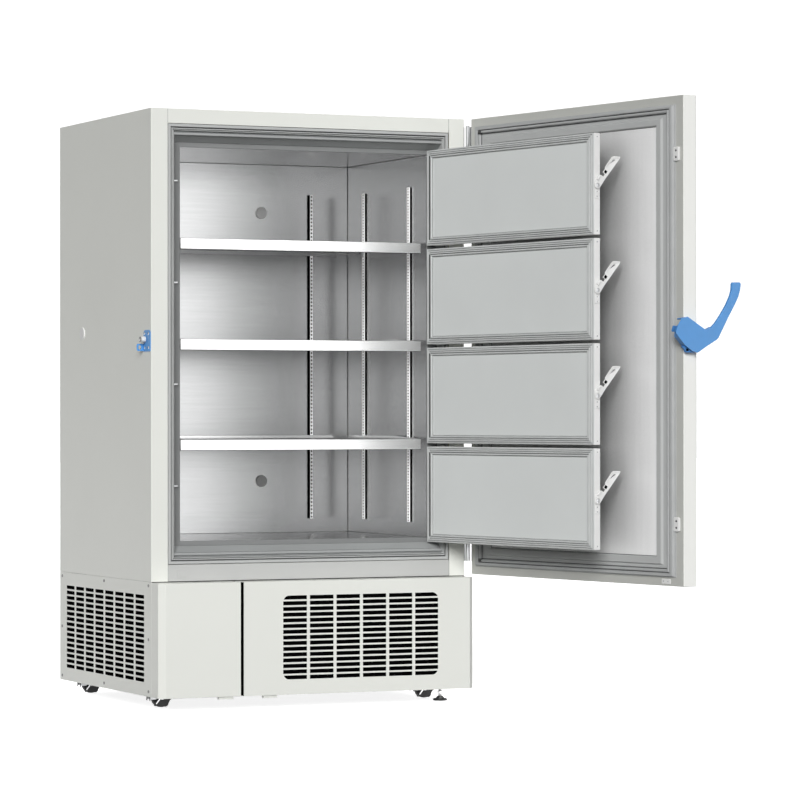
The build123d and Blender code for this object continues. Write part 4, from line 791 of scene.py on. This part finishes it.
    # raised rims along the lever and the bent thumb flap beside its foot
    p.add(plate(rounded([(-13.6, 66), (-11.4, 66), (-11.4, 106), (8.6, 124), (7.4, 126), (-13.6, 110)], 0.8), [], 3.4, 6.4, 0.7, 2, "xyh"), WHITE)
    p.add(plate(rounded([(8.6, 46), (10.0, 46), (12.2, 122), (10.6, 122)], 0.5), [], 3.4, 5.2, 0.5, 2, "xyh"), WHITE)
    p.add(rbox((-15.4, -9.0), (12.0, 31.0), (0.4, 8.0), 1.4, 3), WHITE)
    p.add(rbox((-8.8, 1.6), (48.5, 59.0), (3.0, 4.2), 0.2, 1), HOLE)
    p.add(lathe([(7.8, 3.6), (10.4, 3.6), (10.4, 4.4), (9.8, 4.9), (8.2, 4.9), (7.8, 4.4)], "z", (0, 0, 0), 30, True), WHITE)
    p.done(["latch_lever_" + m])

# ------------------------------------------------------------------- casters
CASTERS = {"front_left": (-485.0, -310.0), "front_right": (482.0, -313.0), "rear_left": (-488.0, 372.0), "rear_right": (485.0, 372.0)}
for name, (xw, yw) in CASTERS.items():
    xs = xw - 25.0
    p = Piece("caster_fork_" + name + "_steel", "caster_fork_" + name)
    # swivel head with its raceways
    p.add(lathe([(0, 76), (20, 76), (24.5, 76.4), (27, 77.6), (27, 79.4), (25.2, 80.2), (26.4, 81.0), (26.4, 82.6), (24.8, 83.4), (16, 83.6), (9.8, 83.8),
                 (9.8, 89.4), (0, 89.4)], "z", (xs, yw, 0), 44), ZINC)
    side = [(xs - 18, 77, 3), (xs + 22, 77, 3), (xw + 13, 40, 10), (xw + 11, 24, 6), (xw, 19.6, 8), (xw - 11, 24, 6), (xw - 14, 40, 10)]
    for y in ((yw - 16, yw - 13), (yw + 13, yw + 16)):
        p.add(plate(rounded(side, 4, 5), [], y[0], y[1], 0.8, 2, "xhz"), ZINC)
    p.add(rbox((xs - 18, xs + 22), (yw - 16, yw + 16), (74, 77.2), 0.9), ZINC)
    # axle bolt and nuts
    p.add(lathe([(0, yw - 17.4), (4.0, yw - 17.4), (4.0, yw + 17.4), (0, yw + 17.4)], "y", (xw, 0, 32), 24), ZINC)
    for y in ((yw - 17.5, yw - 15.6), (yw + 15.6, yw + 17.5)):
        p.add(plate(arc(xw, 32, 7.0, 0, 300, 5), [arc(xw, 32, 3.2, 0, 330, 11)], y[0], y[1], 0.4, 1, "xhz"), CHROME)
    # black cheeks beside the wheel and the pedal
    cheek = [(-25, 19, 4), (-16, 2.0, 3), (15, 2.0, 4), (22, 8, 5), (23.5, 19, 3), (33, 27, 6), (51, 27, 5), (57.6, 32, 5), (51, 37.8, 5), (22, 40, 4), (4, 46, 4), (-4, 46, 4)]
    for y in ((yw - 16.4, yw - 12.4), (yw + 12.4, yw + 16.4)):
        p.add(plate(rounded([(xw + a, b, c) for a, b, c in cheek], 3, 5), [], y[0], y[1], 1.0, 3, "xhz"), BLACK)
        p.add(plate(rounded([(xw - 43, 27), (xw - 43, 47), (xw - 10, 47), (xw - 22, 27)], 3), [], y[0] - 0.3, y[1] + 0.3, 0.8, 2, "xhz"), ZINC)
        p.add(plate(rounded([(xw - 44.6, 23), (xw - 44.6, 46), (xw - 42.2, 46), (xw - 42.2, 23)], 0.8), [], y[0] - 0.4, y[1] + 0.4, 0.5, 2, "xhz"), BLACK)
    for y in ((yw - 17.3, yw - 16.2), (yw + 16.2, yw + 17.3)):
        p.add(plate(rounded([(xw - 23.4, 13.6), (xw - 20.2, 10.4), (xw + 4.6, 41.6), (xw + 1.4, 44.8)], 1.2), [], y[0], y[1], 0.4, 2, "xhz"), CHROME)
    p.add(rbox((xw + 36, xw + 57), (yw - 14, yw + 14), (29.2, 36.0), 3.0, 3), BLACK)
    for i in range(4):
        p.add(rbox((xw + 39 + 4.2 * i, xw + 41 + 4.2 * i), (yw - 11.5, yw + 11.5), (35.7, 37.0), 0.4, 1), BLACK)
    p.done(["caster_fork_" + name])

    p = Piece("caster_wheel_" + name + "_tyre", "caster_wheel_" + name)
    tread = [(22.5, yw - 10.6), (29, yw - 11), (31, yw - 10.2), (31.9, yw - 8.2), (32, yw - 5), (32, yw + 5), (31.9, yw + 8.2), (31, yw + 10.2), (29, yw + 11), (22.5, yw + 10.6)]
    p.add(lathe(tread, "y", (xw, 0, 32), 64, True), RUBBER)
    hub = [(4.3, yw - 10.8), (9, yw - 10.8), (9.6, yw - 9.6), (11, yw - 7.4), (20.5, yw - 7.4), (22.8, yw - 9.8), (22.8, yw + 9.8), (20.5, yw + 7.4), (11, yw + 7.4), (9.6, yw + 9.6),
           (9, yw + 10.8), (4.3, yw + 10.8)]
    p.add(lathe(hub, "y", (xw, 0, 32), 48, True), BLACK)
    p.done(["caster_wheel_" + name])

# ------------------------------------------------------------------- levelling foot
fx, fy = 482.0, -449.0
p = Piece("levelling_foot_pad", "levelling_foot")
p.add(lathe([(0, 0), (23, 0), (24, 0.8), (24, 4.6), (23, 6.2), (21, 7.0), (15, 7.2), (0, 7.2)], "z", (fx, fy, 0), 56), BLACK)
stem = [(0, 7.0), (15.8, 7.0), (16, 7.6), (14.6, 9.4), (10.2, 13.6), (8.4, 15.8), (6.0, 16.2)]
z = 16.6
while z < 110.5:
    stem += [(5.9, z), (5.2, z + 0.85)]
    z += 1.75
stem += [(5.0, 112), (0, 112)]
p.add(lathe(stem, "z", (fx, fy, 0), 36), CHROME)
p.add(plate(arc(fx, fy, 11, 0, 300, 5), [arc(fx, fy, 5.4, 0, 340, 17)], 24, 32, 0.8, 2, "xyh"), CHROME)
p.done(["levelling_foot"])

# ------------------------------------------------------------------- stage
bpy.ops.mesh.primitive_plane_add(size=120, location=(0, 0, -0.0003))
floor = bpy.context.object
floor.name = "studio_floor"
fm = material("studio_floor_white", (0.90, 0.90, 0.90), 0.7, var=0.01, vscale=0.5, bump=0.0)
fp = fm.node_tree.nodes["Principled BSDF"]
fp.inputs["Emission Color"].default_value = (1, 1, 1, 1)
fp.inputs["Emission Strength"].default_value = 0.84
floor.data.materials.append(fm)
floor.visible_diffuse = False

world = bpy.data.worlds.new("studio")
scene.world = world
world.use_nodes = True
nt = world.node_tree
nt.nodes.clear()
wo = nt.nodes.new("ShaderNodeOutputWorld")
lp = nt.nodes.new("ShaderNodeLightPath")
mx = nt.nodes.new("ShaderNodeMixShader")
soft = nt.nodes.new("ShaderNodeBackground")
soft.inputs["Color"].default_value = (1, 1, 1, 1)
soft.inputs["Strength"].default_value = 0.075
bright = nt.nodes.new("ShaderNodeBackground")
bright.inputs["Strength"].default_value = 2.4
wt = nt.nodes.new("ShaderNodeTexCoord")
dot = nt.nodes.new("ShaderNodeVectorMath")
dot.operation = "DOT_PRODUCT"
dot.inputs[1].default_value = (0.45, -0.893, 0.0)
half = nt.nodes.new("ShaderNodeMapRange")
half.inputs["From Min"].default_value = -1.0
half.inputs["From Max"].default_value = 1.0
wr = nt.nodes.new("ShaderNodeValToRGB")
el = wr.color_ramp.elements
el[0].position, el[0].color = 0.0, (0.16, 0.16, 0.16, 1)
el[1].position, el[1].color = 1.0, (1, 1, 1, 1)
for pos, val in ((0.40, 0.22), (0.65, 0.55), (0.82, 0.62), (0.93, 0.75), (0.985, 0.98)):
    e = el.new(pos)
    e.color = (val, val, val, 1)
link(nt, wt.outputs["Generated"], dot.inputs[0])
link(nt, dot.outputs["Value"], half.inputs["Value"])
link(nt, half.outputs["Result"], wr.inputs["Fac"])
link(nt, wr.outputs["Color"], bright.inputs["Color"])
backdrop = nt.nodes.new("ShaderNodeBackground")
backdrop.inputs["Color"].default_value = (1, 1, 1, 1)
backdrop.inputs["Strength"].default_value = 1.2
mx2 = nt.nodes.new("ShaderNodeMixShader")
link(nt, lp.outputs["Is Glossy Ray"], mx.inputs["Fac"])
link(nt, soft.outputs[0], mx.inputs[1])
link(nt, bright.outputs[0], mx.inputs[2])
link(nt, lp.outputs["Is Camera Ray"], mx2.inputs["Fac"])
link(nt, mx.outputs[0], mx2.inputs[1])
link(nt, backdrop.outputs[0], mx2.inputs[2])
link(nt, mx2.outputs[0], wo.inputs["Surface"])

# key light: a wide soft source beside the camera
sun = bpy.data.lights.new("key", "SUN")
sun.energy = 3.12
sun.angle = radians(26)
so = bpy.data.objects.new("key", sun)
scene.collection.objects.link(so)
so.visible_glossy = False
az, tilt = radians(30.0), radians(20)
so.rotation_euler = Vector((sin(az) * cos(tilt), cos(az) * cos(tilt), -sin(tilt))).to_track_quat("-Z", "Y").to_euler()

# fill light: a wide soft source behind and to the right, for the sides the key leaves in shade
fill = bpy.data.lights.new("fill", "SUN")
fill.energy = 2.9
fill.angle = radians(50)
fo = bpy.data.objects.new("fill", fill)
scene.collection.objects.link(fo)
fo.visible_glossy = False
az, tilt = radians(225.0), radians(28)
fo.rotation_euler = Vector((sin(az) * cos(tilt), cos(az) * cos(tilt), -sin(tilt))).to_track_quat("-Z", "Y").to_euler()

# ------------------------------------------------------------------- camera
cam = bpy.data.cameras.new("camera")
cam.sensor_width = 36.0
cam.sensor_fit = "HORIZONTAL"
cam.lens = 160.954
cam.clip_start = 0.1
cam.clip_end = 200
co = bpy.data.objects.new("camera", cam)
scene.collection.objects.link(co)
eye = Vector((-4.7383, -11.5163, 0.9725))
look = Vector((0.5381, 0.0, 1.0288)) - eye
co.location = eye
co.rotation_mode = "QUATERNION"
co.rotation_quaternion = look.to_track_quat("-Z", "Y") @ Matrix.Rotation(radians(-0.0384), 4, "Z").to_quaternion()
scene.camera = co
scene.view_settings.view_transform = "Standard"
